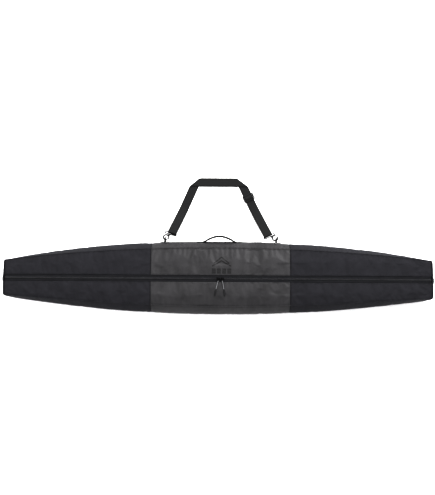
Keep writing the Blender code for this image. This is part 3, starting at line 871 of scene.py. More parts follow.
@dataclass
class Padded:
    """A padded length of fabric: its creased face, the foam and the lining behind it.

    Args:
        form: the bag's outline.
        half: the side of the zip.
        section: which length of the bag.
        puff: how far the foam lifts the face between the seams.
        pucker: height of the small gathers that the seams pull in.
        growth: how much looser the fabric is than the shape that it covers.
        most: the furthest that a crease may move a point.
        thickness: from the face to the lining.
        spacing: how far apart the grid's points are.
        thread_lift: how far the stitches stand off the fabric.
        end_ease: how far from a crosswise seam the foam reaches its full height.
        gather_pitch: distance from one gather to the next.
        gather_reach: how far the gathers fade into the panel.
    """

    form: BagForm
    half: Half
    section: Section
    puff: float = 0.0022
    pucker: float = 0.0008
    growth: float = 0.012
    most: float = 0.0028
    thickness: float = 0.0056
    spacing: float = 0.0050
    thread_lift: float = 0.0002
    end_ease: float = 0.010
    gather_pitch: float = 0.023
    gather_reach: float = 0.011
    grid: Array = field(init=False, repr=False)
    backing: Array = field(init=False, repr=False)

    def __post_init__(self) -> None:
        """Lays the face out before it creases."""
        left, right = self.form.limits(self.section)
        rows = round((right - left) / self.spacing) + 1
        self.xs = np.linspace(left, right, rows)
        self.vs = np.linspace(0, 1, self.columns())
        x, v = np.meshgrid(self.xs, self.vs, indexing="ij")
        base, self.backing = self.lay_out(x, v)
        facing = normals_of(base)
        outward = np.sign(np.sum(facing * self.outward(), axis=2))[:, :, None]
        self.grid = base + facing * outward * self.relief(x, v)[:, :, None]

    @property
    def drag(self) -> float:
        """Height of the lines that the zip and the seams draw across this fabric."""
        return 0.0009 if self.section is Section.CENTRE else 0.0005

    @property
    def finish(self) -> Finish:
        """The fabric of this section."""
        return CENTRE_FABRIC if self.section is Section.CENTRE else END_FABRIC

    def columns(self) -> int:
        """How many columns the grid has across the panel."""
        raise NotImplementedError

    def outward(self) -> Array:
        """A direction that points out of the bag here."""
        raise NotImplementedError

    def lay_out(self, x: Array, v: Array) -> tuple[Array, Array]:
        """The plain face and the lining behind it, as grids of points."""
        raise NotImplementedError

    def relief(self, x: Array, v: Array) -> Array:
        """How far the face stands out of its plain shape: foam, gathers and soft dents."""
        left, right = self.form.limits(self.section)
        ends = 1 - np.exp(-np.minimum(x - left, right - x) / self.end_ease)
        lift = self.puff * np.sqrt(np.sin(math.pi * v)) * ends
        seed = hash_seed(self.half, self.section)
        out = np.empty(x.shape)
        for index in np.ndindex(*x.shape):
            a, b = float(x[index]), float(v[index])
            edge = min(b, 1 - b) * 0.12
            gather = math.sin(2 * math.pi * (a / self.gather_pitch + 0.5 * ripple(a * 16, 0.0, seed)))
            strong = 0.5 + 0.5 * ripple(a * 9, 3.0, seed)
            near = math.exp(-edge / self.gather_reach) * min(1.0, edge / 0.003)
            dent = 0.0005 * ripple(a * 11, b * 2.0, seed) + 0.0002 * ripple(a * 31, b * 5.0, seed)
            slant = a + 0.010 * ripple(a * 5, b * 2.5, seed + 5.0)
            pull = max(0.0, ripple(a * 6, b * 1.5, seed + 9.0) + 0.35)
            dent += self.drag * pull * ripple(slant * 48, b * 0.9, seed + 2.0)
            out[index] = self.pucker * gather * strong * near + dent * min(1.0, edge / 0.010)
        return lift + out * ends

    def relax(self, creased: Array) -> None:
        """Takes over the creased face, but no point moves more than a few millimetres."""
        shift = creased - self.grid
        size = np.linalg.norm(shift, axis=2)[:, :, None]
        self.grid = self.grid + shift * np.minimum(1.0, self.most / np.maximum(size, 1e-9))

    def at(self, x: float, v: float, lift: float = 0.0) -> Vector:
        """A point on the finished face, raised by the lift."""
        left, right = self.xs[0], self.xs[-1]
        i = np.clip((x - left) / (right - left), 0, 1) * (len(self.xs) - 1)
        j = np.clip(v, 0, 1) * (len(self.vs) - 1)
        a, b = min(int(i), len(self.xs) - 2), min(int(j), len(self.vs) - 2)
        p, q = i - a, j - b
        g = self.grid
        first = g[a, b] * (1 - q) + g[a, b + 1] * q
        second = g[a + 1, b] * (1 - q) + g[a + 1, b + 1] * q
        across = (g[a, b + 1] - g[a, b]) * (1 - p) + (g[a + 1, b + 1] - g[a + 1, b]) * p
        normal = np.cross(second - first, across)
        normal /= np.linalg.norm(normal)
        if np.dot(normal, self.outward()) < 0:
            normal = -normal
        return Vector(first * (1 - p) + second * p + normal * lift)

    def build(self, name: str, *nodes: str) -> bpy.types.Object:
        """Closes the face over its lining and makes the object."""
        shape = Shape()
        shape.slab(self.grid, self.backing)
        piece = shape.make(name, [self.finish, LINING])
        return piece

    def row_steps(self) -> list[float]:
        """Where a lengthwise row of stitches passes along the bag."""
        left, right = self.form.limits(self.section)
        return spread(left + ROW_START, right - ROW_START, 90)

    def stitching(self, name: str, rows: list) -> bpy.types.Object:
        """Rows of stitches on the face, and one more beside each crosswise seam.

        Args:
            name: the piece's name.
            rows: routes, each a list of (x, v) places on the face.
        """
        left, right = self.form.limits(self.section)
        for x in (left + ROW_INSET, right - ROW_INSET):
            rows.append([(x, v) for v in spread(0.03, 0.97, 24)])
        shape = Shape()
        for row in rows:
            shape.stitches([self.at(x, v, self.thread_lift) for x, v in row])
        return shape.make(name, [THREAD])


def hash_seed(half: Half, section: Section) -> float:
    """A fixed seed for the noise of each panel."""
    return 7.3 * half.value + 19.1 * list(Section).index(section)


@dataclass
class FrontPanel(Padded):
    """One length of the front, from the zip to the front seam; it folds open beside the zip."""

    hem: float = 0.0050

    def columns(self) -> int:
        """Enough columns for the widest place."""
        return round(float(self.form.seam_y(0.0, self.half.value)) / self.spacing) + 4

    def outward(self) -> Array:
        """The front faces up."""
        return np.array(FLAT_UP)

    def lay_out(self, x: Array, v: Array) -> tuple[Array, Array]:
        """The front's plain face and its lining straight below."""
        edge = self.form.tape_edge
        y = edge + (self.form.seam_y(x, self.half.value) - COVER_GAP - edge) * v
        z = self.form.front_z(x, self.half.value * y)
        face = np.stack((x, self.half.value * y, z), axis=2)
        return face, face - np.array((0.0, 0.0, self.thickness))

    def across(self, x: float, y: float) -> float:
        """The share of the panel's width at a distance from the zip."""
        edge = self.form.tape_edge
        return (y - edge) / (float(self.form.seam_y(x, self.half.value)) - edge)

    def dress(self) -> None:
        """Makes the panel and its topstitching."""
        word = f"{self.half.word}_{self.section.value}"
        nodes = [f"{self.half.word}_{part}_{self.section.value}" for part in ("flap", "yoke")]
        panel = self.build(f"{word}_front", *nodes)
        fold_over(panel)
        settle(panel, "", slot_of(self.section), *nodes)
        steps = self.row_steps()
        rows = [[(x, self.across(x, self.form.tape_edge + ROW_INSET)) for x in steps]]
        hem = self.form.seam_y(np.array(steps), self.half.value) - self.hem
        rows.append([(x, self.across(x, float(y))) for x, y in zip(steps, hem)])
        thread = self.stitching(f"{word}_front_stitching", rows)
        fold_over(thread)
        settle(thread, "", slot_of(self.section))


@dataclass
class GussetPanel(Padded):
    """One length of the side, between the back seam and the front seam; it is drawn tight."""

    growth: float = 0.004
    most: float = 0.0010
    hem_share: float = 0.045

    @property
    def drag(self) -> float:
        """The side is drawn tight, so hardly any line shows."""
        return 0.0003

    def columns(self) -> int:
        """Enough columns for the deepest place."""
        return 21

    def outward(self) -> Array:
        """The side faces away from the zip."""
        return np.array((0.0, float(self.half.value), 0.0))

    def lay_out(self, x: Array, v: Array) -> tuple[Array, Array]:
        """The side's plain face, and its lining drawn in by the thickness."""
        grids = []
        for inward in (0.0, self.thickness):
            y, z = self.form.side(x, v, self.half.value, inward)
            grids.append(np.stack((x, self.half.value * (y + COVER_GAP), z), axis=2))
        return grids[0], grids[1]

    def dress(self) -> None:
        """Makes the panel and the stitches beside its seams."""
        word = f"{self.half.word}_{self.section.value}"
        node = f"{self.half.word}_gusset_{self.section.value}"
        panel = self.build(f"{word}_side", node)
        settle(panel, "bag", slot_of(self.section), node)
        rows = [[(x, v) for x in self.row_steps()] for v in (self.hem_share, 1 - self.hem_share)]
        thread = self.stitching(f"{word}_side_stitching", rows)
        settle(thread, "bag", slot_of(self.section))


def slot_of(section: Section) -> str:
    """The record's material slot of a section's fabric."""
    return "centre_fabric" if section is Section.CENTRE else "end_fabric"


def fold_over(piece: bpy.types.Object) -> None:
    """Bakes the piece's placement into its points."""
    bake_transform(piece)


CLOTH = {
    "quality": 6,
    "mass": 0.02,
    "vertex_group_mass": "held",
    "tension_stiffness": 25,
    "compression_stiffness": 25,
    "shear_stiffness": 8,
    "bending_stiffness": 1.2,
    "air_damping": 3,
}


def crease(panels: list[Padded], frames: int = 16) -> None:
    """Lets the sheets buckle as loose cloth does, with their edges sewn down.

    Args:
        panels: the panels, whose grids are replaced by the creased ones.
        frames: how long the cloth moves.
    """
    scene = bpy.context.scene
    trials = []
    for panel in panels:
        rows, columns = panel.grid.shape[:2]
        shape = Shape()
        shape.quads(shape.lay(panel.grid), rows, columns)
        trial = shape.make("loose_sheet", [panel.finish])
        held = trial.vertex_groups.new(name="held")
        number = np.arange(rows * columns).reshape(rows, columns)
        border = np.setdiff1d(number, number[1:-1, 1:-1])
        held.add(border.tolist(), 1.0, "REPLACE")
        cloth = trial.modifiers.new("crease", "CLOTH")
        cloth.collision_settings.use_collision = False
        for key, value in CLOTH.items():
            setattr(cloth.settings, key, value)
        cloth.settings.shrink_min = -panel.growth
        cloth.settings.effector_weights.gravity = 0
        trials.append(trial)
    for step in range(1, frames + 1):
        scene.frame_set(step)
    graph = bpy.context.evaluated_depsgraph_get()
    for panel, trial in zip(panels, trials):
        mesh = trial.evaluated_get(graph).to_mesh()
        flat = np.empty(len(mesh.vertices) * 3, np.float32)
        mesh.vertices.foreach_get("co", flat)
        creased = flat.reshape(panel.grid.shape).astype(float)
        moved = np.linalg.norm(creased - panel.grid, axis=2)
        LOG.info("%s %s moved up to %.1f mm", panel.half.word, panel.section.value, 1000 * moved.max())
        panel.relax(creased)
    for trial in trials:
        bpy.data.objects.remove(trial, do_unlink=True)
    scene.frame_set(1)


@dataclass
class BackPanel:
    """The flat back, with its quilted lining on top."""

    form: BagForm
    thickness: float = 0.006
    quilt_length: float = 0.09
    quilt_height: float = 0.0006

    def dress(self) -> None:
        """Makes the panel as one closed piece."""
        end = self.form.panel_end - END_GAP
        x, v = np.meshgrid(np.linspace(-end, end, 161), np.linspace(-1, 1, 41), indexing="ij")
        y = (self.form.seam_y(x, np.sign(v)) - COVER_GAP) * v
        z = self.form.floor_z(x, y)
        outer = np.stack((x, y, z), axis=2)
        cells = np.abs(np.sin(math.pi * x / self.quilt_length)) * np.abs(np.sin(math.pi * v * 3))
        quilt = self.quilt_height * cells
        inner = np.stack((x, y, z + self.thickness + quilt * (1 - np.abs(v) ** 8)), axis=2)
        shape = Shape()
        shape.slab(outer, inner)
        piece = shape.make("back_cover", [END_FABRIC, LINING])
        settle(piece, "bag", "end_fabric", "back_panel")


@dataclass
class EndPanel:
    """The small padded panel that closes an end, with its piping and grab loop.

    Args:
        form: the bag's outline.
        end: which end it closes.
        loop_half_span: from the middle of the grab loop to the start of a foot.
        loop_rise: how far the loop stands off the end.
        loop_foot: length of each sewn foot.
        swell: how far the middle of the pillow stands out past its shoulder.
        piping_radius: half the thickness of the piping.
    """

    form: BagForm
    end: End
    loop_half_span: float = 0.034
    loop_rise: float = 0.0129
    loop_foot: float = 0.014
    swell: float = 0.0012
    piping_radius: float = 0.0015

    def dress(self) -> None:
        """Makes the panel, the piping around it and the loop."""
        self.pillow()
        self.piping()
        self.loop()

    def pillow(self) -> None:
        """A rounded pillow that swells from the piping to its middle."""
        form = self.form
        outline = form.end_outline(self.end)
        middle = np.array((0.0, form.depth / 2))
        depth = form.half_length - form.panel_end
        loops = [[(self.end.value * form.panel_end, y, z) for y, z in outline]]
        for turn in spread(0.0, 1.0, 6):
            angle = turn * math.pi / 2
            x = form.panel_end + (depth - self.swell) * math.sin(angle)
            inset = depth * (1 - math.cos(angle)) / (form.depth / 2)
            loops.append(self.ring(outline, middle, 1 - inset, x))
        for share in (0.78, 0.64, 0.5, 0.36, 0.22, 0.08):
            x = form.half_length - self.swell * (share / 0.9) ** 2 - COVER_GAP
            loops.append(self.ring(outline, middle, share, x))
        shape = Shape()
        shape.rings(loops)
        piece = shape.make(f"{self.end.word}_end_cover", [END_FABRIC])
        settle(piece, "bag", "end_fabric", f"{self.end.word}_end_panel")

    def ring(self, outline: Array, middle: Array, share: float, x: float) -> list:
        """The outline shrunk about its middle, with slight dents."""
        loop = []
        for y, z in middle + (outline - middle) * share:
            dent = 0.0006 * ripple(y * 30, z * 30, 40.0 * self.end.value) * (1 - share)
            loop.append((self.end.value * (x - abs(dent)), y, z))
        return loop

    def piping(self) -> None:
        """A round cord of fabric in the seam around the end."""
        outline = self.form.end_outline(self.end, 18)
        x = self.end.value * (self.form.panel_end + 0.0004)
        path = [(x, 1.003 * y, max(z, self.piping_radius + 0.0001)) for y, z in outline]
        shape = Shape()
        shape.tube(path, self.piping_radius, sides=8, closed=True, up=ALONG_BAG)
        settle(shape.make(f"{self.end.word}_end_piping", [WELT]), "bag", "end_fabric")

    def loop(self) -> None:
        """A short loop of webbing, stitched flat to the end at its two feet."""
        name = f"{self.end.word}_grab_loop"
        low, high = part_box(name)
        half_height = (high.z - low.z) / 2
        middle_z = (high.z + low.z) / 2
        base = self.form.half_length + 0.0010
        span = self.loop_half_span
        stations = [(base, y) for y in spread(-span - self.loop_foot, -span, 3)[:-1]]
        for share in spread(-1.0, 1.0, 22):
            stations.append((base + self.loop_rise * (1 - share**2) ** 0.8, span * share))
        stations += [(base, y) for y in spread(span, span + self.loop_foot, 3)[1:]]
        pairs = []
        faces = []
        for (x, y), (run_x, run_y) in along_path(stations):
            at = self.end.value * x
            faces.append((self.end.value * run_y, -run_x, 0.0))
            pairs.append(((at, y, middle_z - half_height), (at, y, middle_z + half_height)))
        shape = Shape()
        shape.strip(pairs, NARROW_THICKNESS, faces)
        settle(shape.make(f"{name}_webbing", [NARROW]), "bag", "webbing", name)
        stitches = Shape()
        x = self.end.value * (base + 0.0012)
        for side in (-1, 1):
            near, far = side * (span + 0.0015), side * (span + self.loop_foot - 0.002)
            corners = Vector((x, near, middle_z)), Vector((x, far, middle_z))
            box_stitch(stitches, *corners, half_height - BOX_MARGIN)
        settle(stitches.make(f"{name}_stitching", [THREAD]), "bag", "webbing")


def box_stitch(shape: Shape, near: Vector, far: Vector, half: float) -> None:
    """Adds a box of stitches with a cross in it, between two points and this far above and below."""
    up = Vector((0, 0, half))
    corners = [near - up, far - up, far + up, near + up]
    for first, second in ((0, 1), (1, 2), (2, 3), (3, 0), (0, 2), (1, 3)):
        shape.stitches([corners[first], corners[second]], BOX_PITCH)


@dataclass
class Seams:
    """The bindings that close the seams between the panels.

    Args:
        form: the bag's outline.
        fronts: the front panel of each half and section.
        sides: the side panel of each half and section.
        radius: half the thickness of the long bindings.
        ridge_radius: half the thickness of the crosswise ridges.
        wander: how far the gathers pull a long binding to and fro.
    """

    form: BagForm
    fronts: dict
    sides: dict
    radius: float = 0.0012
    ridge_radius: float = 0.0011
    wander: float = 0.0005

    def dress(self) -> None:
        """Makes the long bindings and the ridges across the bag."""
        for half in Half:
            self.binding(half, "front")
            self.binding(half, "back")
            for place, x in zip(("left", "right"), self.form.seams):
                self.ridge(half, place, x)

    def binding(self, half: Half, where: str) -> None:
        """A rolled edge along one long seam; it wanders a little, as the gathers pull it."""
        form = self.form
        end = form.panel_end - 0.001
        path = []
        for x in spread(-end, end, 380):
            wander = self.wander * ripple(x * 45, 0.0, 3.0 * half.value + len(where))
            y = float(form.seam_y(x, half.value)) + 0.0006 + wander
            z = form.back_edge_z - 0.0006
            if where == "front":
                z = float(form.seam_z(x)) + 0.0004 - wander
            path.append((x, half.value * y, z))
        shape = Shape()
        shape.tube(path, self.radius, sides=8)
        for number, face in enumerate(shape.faces):
            x = shape.points[face[0]][0]
            shape.slots[number] = int(form.seams[0] < x < form.seams[1])
        piece = shape.make(f"{half.word}_{where}_binding", [END_FABRIC, CENTRE_FABRIC])
        settle(piece, "bag", "end_fabric")

    def ridge(self, half: Half, place: str, x: float) -> None:
        """The lapped seam where two fabrics meet, over the front and down the side."""
        front = self.fronts[half, Section.CENTRE]
        side = self.sides[half, Section.CENTRE]
        for where, panel, shares in (
            ("front", front, spread(0.0, 1.0, 40)),
            ("side", side, spread(0.02, 0.98, 30)),
        ):
            shape = Shape()
            path = [panel.at(x, v, 0.0001) for v in shares]
            shape.tube(path, self.ridge_radius, sides=8, up=ALONG_BAG)
            piece = shape.make(f"{half.word}_{place}_{where}_ridge", [WELT])
            if panel is front:
                fold_over(piece)
            settle(piece, "" if panel is front else "bag", "end_fabric")


# The zip


@dataclass
class ZipHalf:
    """One half of the zip: woven tape, a row of coil teeth and the stitches that hold them.

    Args:
        half: the side of the zip.
        pitch: distance from one tooth to the next.
        core_y: how far the thread through the coil lies from the zip's middle.
    """

    half: Half
    pitch: float = 0.0026
    core_y: float = 0.0018

    def dress(self) -> None:
        """Makes the tape, the coil and the thread."""
        body = f"{self.half.word}_flap"
        side = self.half.value
        name = f"{self.half.word}_zip_tape"
        low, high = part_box(name)
        near, far = sorted((abs(low.y), abs(high.y)))
        z = (low.z + high.z) / 2
        edges = (side * near, side * (far - COVER_GAP))
        shape = Shape()
        pairs = [[(x, y, z) for y in edges] for x in spread(low.x, high.x, 200)]
        shape.strip(pairs, high.z - low.z)
        settle(shape.make(f"{name}_woven", [TAPE]), body, "zip_tape", name)
        thread = Shape()
        for y in (near + 0.0029, far - 0.0016):
            thread.stitches([(x, side * y, high.z + 0.0002) for x in (low.x, high.x)], 0.0034, 0.0003)
        settle(thread.make(f"{name}_stitching", [THREAD]), body, "zip_tape")
        self.teeth(body)

    def teeth(self, body: str) -> None:
        """The coil: rounded teeth on a core of thread, half a pitch apart on the two halves."""
        side = self.half.value
        name = f"{self.half.word}_zip_coil"
        low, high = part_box(name)
        reach = max(abs(low.y), abs(high.y))
        count = int((high.x - low.x) / self.pitch) - 1
        start = low.x + self.pitch * (0.5 + (0.5 if self.half is Half.LOWER else 0.0))
        middle = (low.z + high.z) / 2
        shape = Shape()
        # Each tooth as (distance from the zip, share of its width, share of its height).
        profile = ((0.00018, 0.45, 0.55), (0.0010, 0.75, 1.0), (0.0024, 0.8, 1.0), (reach, 0.5, 0.6))
        corners = ((-1, -1), (1, -1), (1, 0.5), (0.4, 1), (-0.4, 1), (-1, 0.5))
        for k in range(count):
            x = start + k * self.pitch
            loops = []
            for y, wide, tall in profile:
                dx = self.pitch * 0.45 * wide
                dz = (high.z - middle) * tall
                loops.append([(x + a * dx, side * y, middle + b * dz) for a, b in corners])
            shape.rings(loops)
        core = [(x, side * self.core_y, middle - 0.0006) for x in (low.x, high.x)]
        shape.tube(core, 0.0005, sides=6)
        settle(shape.make(f"{name}_teeth", [COIL]), body, "zip_coil", name)


@dataclass
class Slider:
    """A zip slider with its pull: an eye tab, a cord and a moulded tip.

    Args:
        end: the end of the bag that the slider runs to.
        reach: how far the pull's tip lies to the side of its hinge.
        cord_radius: half the thickness of the cord.
        cord_start: where the cord leaves the eye, measured from the hinge.
        cord_end: where it enters the tip.
        tip_end: where the tip ends.
        tip_drop: how much lower than the hinge the tip ends.
        shield: heights over the plate's foot with the share of its size there.
        bridge_half: half the width of the bridge that the pull hangs on.
        hole: radius of the eye's hole.
    """

    end: End
    reach: float
    cord_radius: float = 0.0015
    cord_start: float = 0.0098
    cord_end: float = 0.0470
    tip_end: float = 0.0790
    tip_drop: float = 0.0038
    shield: tuple = ((0.0, 0.93), (0.0003, 1.0), (0.0013, 1.0), (0.0018, 0.9))
    bridge_half: float = 0.0057
    hole: float = 0.0018

    def __post_init__(self) -> None:
        """Reads the hinge of the pull."""
        self.hinge = Vector(joint(f"{self.end.word}_pull_flip")["pos_m"])

    def dress(self) -> None:
        """Makes the slider body and the pull."""
        self.body()
        self.tab()
        tip = self.tip()
        self.cord()

    def along(self, distance: float) -> Vector:
        """A point of the pull, this far from its hinge; past its tab it bends outward."""
        bend = max(0.0, distance - self.cord_start) / (self.tip_end - self.cord_start)
        drop = self.tip_drop * distance / self.tip_end
        return self.hinge + Vector((self.reach * bend**0.8, -distance, -drop))

    def body(self) -> None:
        """The slider's shield-shaped plate, its flange and the bridge over it."""
        name = f"{self.end.word}_slider"
        low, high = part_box(name)
        middle = (low + high) / 2
        half_x, half_y = (high.x - low.x) / 2, (high.y - low.y) / 2
        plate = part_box("upper_zip_coil")[1].z + 0.0003
        loops = []
        for rise, share in self.shield:
            loop = []
            for turn in spread(0, 2 * math.pi, 28)[:-1]:
                c, s = math.cos(turn), math.sin(turn)
                wide = 1 + 0.22 * c * self.end.value
                x = abs(c) ** 0.55 * math.copysign(half_x, c)
                y = abs(s) ** 0.55 * math.copysign(half_y, s) * min(1.0, wide)
                loop.append((middle.x + share * x, middle.y + share * y, plate + rise))
            loops.append(loop)
        shape = Shape()
        shape.rings(loops)
        flange = [(x, high.y - 0.0008, plate - 0.0008) for x in (low.x + 0.002, high.x - 0.002)]
        shape.tube(flange, 0.0007, sides=8)
        span, top = self.bridge_half, self.hinge.z
        arch = [(span, plate + 0.0014), (span, top - 0.0008), (span - 0.0010, top)]
        arch = [(-x, z) for x, z in arch] + arch[::-1]
        shape.tube([(middle.x + x, 0.0, z) for x, z in arch], 0.0009, sides=10, up=(0, 1, 0))
        cast(shape, name, name)

    def tab(self) -> None:
        """The eye that swings on the bridge, with its hole for the cord."""
        name = f"{self.end.word}_pull_tab"
        loops = []
        for x, grow in ((-0.0014, -0.0003), (-0.0011, 0.0), (0.0011, 0.0), (0.0014, -0.0003)):
            loops.append([self.hinge + Vector((x, y, z)) for y, z in self.eye(1.0, grow)])
        inner = [[self.hinge + Vector((x, y, z)) for y, z in self.eye(0.0, 0.0)] for x in (0.0014, -0.0014)]
        shape = Shape()
        shape.rings(loops + inner, closed=True)
        cast(shape, name, f"{self.end.word}_pull")

    def eye(self, outer: float, grow: float) -> list:
        """The outline (y, z) of the tab's hole (outer = 0) or of its edge (outer = 1)."""
        outline = []
        for turn in spread(0, 2 * math.pi, 32)[:-1]:
            nose = max(0.0, math.cos(turn)) ** 8
            radius = self.hole + outer * (0.0010 + 0.0064 * nose + grow)
            outline.append((-radius * math.cos(turn), radius * math.sin(turn)))
        return outline

    def tip(self) -> bpy.types.Object:
        """The moulded grip at the cord's end, with three finger ribs."""
        name = f"{self.end.word}_pull_tip"
        low = self.along(self.cord_end + 0.0003)
        ahead = self.along(self.tip_end) - low
        length, ahead = ahead.length, ahead.normalized()
        side = ahead.cross(Vector((0, 0, 1))).normalized()
        lift = side.cross(ahead)
        loops = []
        for share in spread(0.0, 1.0, 40):
            swell = 0.0019 + 0.0013 * math.sin(math.pi * min(1.0, share * 1.15)) ** 0.7
            rib = 0.00022 * (1 + math.cos(2 * math.pi * share * 9)) if 0.35 < share < 0.8 else 0.0
            radius = (swell + rib) * min(1.0, math.sqrt(max(0.04, (1 - share) * 9)))
            loop = []
            for turn in spread(0, 2 * math.pi, 16)[:-1]:
                offset = math.cos(turn) * side + 0.75 * math.sin(turn) * lift
                loop.append(low + ahead * length * share + radius * offset)
            loops.append(loop)
        shape = Shape()
        shape.rings(loops)
        piece = shape.make(f"{name}_moulded", [PLASTIC])
        return settle(piece, f"{self.end.word}_pull", "black_plastic", name)

    def cord(self) -> None:
        """The braided cord between the eye and the tip."""
        name = f"{self.end.word}_pull_cord"
        marks = [self.along(distance) for distance in spread(self.cord_start, self.cord_end, 12)]
        curve = bpy.data.curves.new(f"{name}_braid", "CURVE")
        curve.dimensions = "3D"
        curve.bevel_depth = self.cord_radius
        curve.bevel_resolution = 4
        curve.use_fill_caps = True
        spline = curve.splines.new("POLY")
        spline.points.add(len(marks) - 1)
        for knot, mark in zip(spline.points, marks):
            knot.co = (*mark, 1.0)
        curve.materials.append(CORD.material())
        piece = bpy.data.objects.new(f"{name}_braid", curve)
        bpy.context.scene.collection.objects.link(piece)
        settle(piece, f"{self.end.word}_pull", "pull_cord", name)


# Webbing and hardware


@dataclass
class CarryHandle:
    """The handle on the upper side: two layers of webbing, stitched down at both feet.

    Args:
        form: the bag's outline.
        half_span: from the handle's middle to the start of a foot.
        rise: how far the middle stands off the side.
        foot: length of each sewn foot.
        layer: thickness of one layer.
        hold: height of the arc below which the webbing follows the side's curve.
        seam_share: how far from the middle of the webbing its stitches run.
        seam_lift: how far the thread lies above the webbing's middle.
        inner_share: share of the arc that the inner layer covers.
        foot_gap: from the side's own surface to the middle of the webbing, at a foot.
        arc_gap: from the widest line of the side to the middle of the webbing, off the side.
    """

    form: BagForm
    half_span: float = 0.080
    rise: float = 0.0255
    foot: float = 0.0236
    layer: float = 0.0019
    hold: float = 0.012
    seam_share: float = 0.86
    seam_lift: float = 0.0012
    inner_share: float = 0.82
    foot_gap: float = 0.0028
    arc_gap: float = 0.0030

    def dress(self) -> None:
        """Makes the outer layer with its feet, the inner layer and the stitches."""
        low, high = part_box("carry_handle")
        self.middle = Vector(((low.x + high.x) / 2, 0.0, (low.z + high.z) / 2))
        self.half_height = (high.z - low.z) / 2
        nodes = ("carry_handle", "left_handle_foot", "right_handle_foot")
        reach = self.half_span + self.foot
        outer = self.strip(spread(-reach, reach, 96), 0.0)
        settle(outer.make("carry_handle_webbing", [STRAP]), "bag", "webbing", *nodes)
        span = self.inner_share * self.half_span
        inner = self.strip(spread(-span, span, 60), -self.layer - 0.0001)
        settle(inner.make("carry_handle_inner_webbing", [STRAP]), "bag", "webbing")
        thread = Shape()
        for side in (-1, 1):
            near, far = side * (self.half_span + 0.003), side * (reach - 0.0025)
            for v in (-1, 1):
                marks = spread(-1, 1, 6)
                self.seam(thread, [(s, v) for s in spread(near, far, 4)])
                self.seam(thread, [(near if v < 0 else far, m) for m in marks])
                self.seam(thread, list(zip(spread(near, far, 6), spread(-v, v, 6))))
        for v in (-1, 1):
            run = spread(-self.half_span * 0.8, self.half_span * 0.8, 40)
            self.seam(thread, [(s, v) for s in run], STITCH_PITCH)
        settle(thread.make("carry_handle_stitching", [THREAD]), "bag", "webbing")

    def seam(self, thread: Shape, row: list, pitch: float = BOX_PITCH) -> None:
        """Adds one row of stitches through places (along, across) of the handle."""
        share, lift = self.seam_share, self.seam_lift
        thread.stitches([self.point(along, share * across, lift) for along, across in row], pitch)

    def point(self, along: float, across: float, lift: float) -> Vector:
        """A point of the handle's centre surface; across runs from -1 to 1 over the webbing."""
        x = self.middle.x + along
        z = self.middle.z + across * self.half_height
        share = min(1.0, abs(along) / self.half_span)
        top = float(self.form.seam_z(x))
        t = (z - self.form.back_edge_z) / (top - self.form.back_edge_z)
        wall = float(self.form.side(x, t, 1)[0]) + self.foot_gap
        flat = float(self.form.width_at(x) + self.form.sway(x)) + self.arc_gap
        arc = self.rise * (1 - share**2) ** 1.5
        hold = max(0.0, 1 - arc / self.hold)
        return Vector((x, flat + (wall - flat) * hold + arc + lift, z))

    def strip(self, places: list, lift: float) -> Shape:
        """One layer of webbing at these places along the handle."""
        loops = []
        weave = []
        ring = webbing_ring()
        for i, s in enumerate(places):
            before, after = places[max(i - 1, 0)], places[min(i + 1, len(places) - 1)]
            run = (self.point(after, 0.0, lift) - self.point(before, 0.0, lift)).normalized()
            face = Vector((-run.y, run.x, 0.0)) * self.layer / 2
            loops.append([self.point(s, v, lift) + face * height for v, height in ring])
            weave.append([(s, v * self.half_height, 0.0) for v, _ in ring])
        shape = Shape()
        shape.rings(loops, weave=weave)
        return shape


@dataclass
class HookFrame:
    """Axes of the flat hardware of one strap end: its ring, its run and its face.

    Args:
        end: which end of the strap.
        reach: from the middle of the hook's ring to the middle of the webbing bar.
    """

    end: End
    reach: float = 0.028

    def __post_init__(self) -> None:
        """Reads the axes from the swivel and the gate."""
        swivel = joint(f"{self.end.word}_hook_swivel")
        self.centre = Vector(swivel["pos_m"])
        self.run = Vector(swivel["axis"]).normalized()
        self.face = -Vector(joint(f"{self.end.word}_gate_press")["axis"]).normalized()
        self.side = self.run.cross(self.face)
        self.bar_centre = self.centre + self.reach * self.run

    def at(self, across: float, along: float, up: float = 0.0) -> Vector:
        """A point from the ring's centre."""
        return self.centre + across * self.side + along * self.run + up * self.face

    def on_ring(self, degrees: float, radius: float) -> Vector:
        """A point of the hook's ring; 90 degrees is at its neck."""
        turn = math.radians(degrees)
        return self.at(radius * math.cos(turn), radius * math.sin(turn))


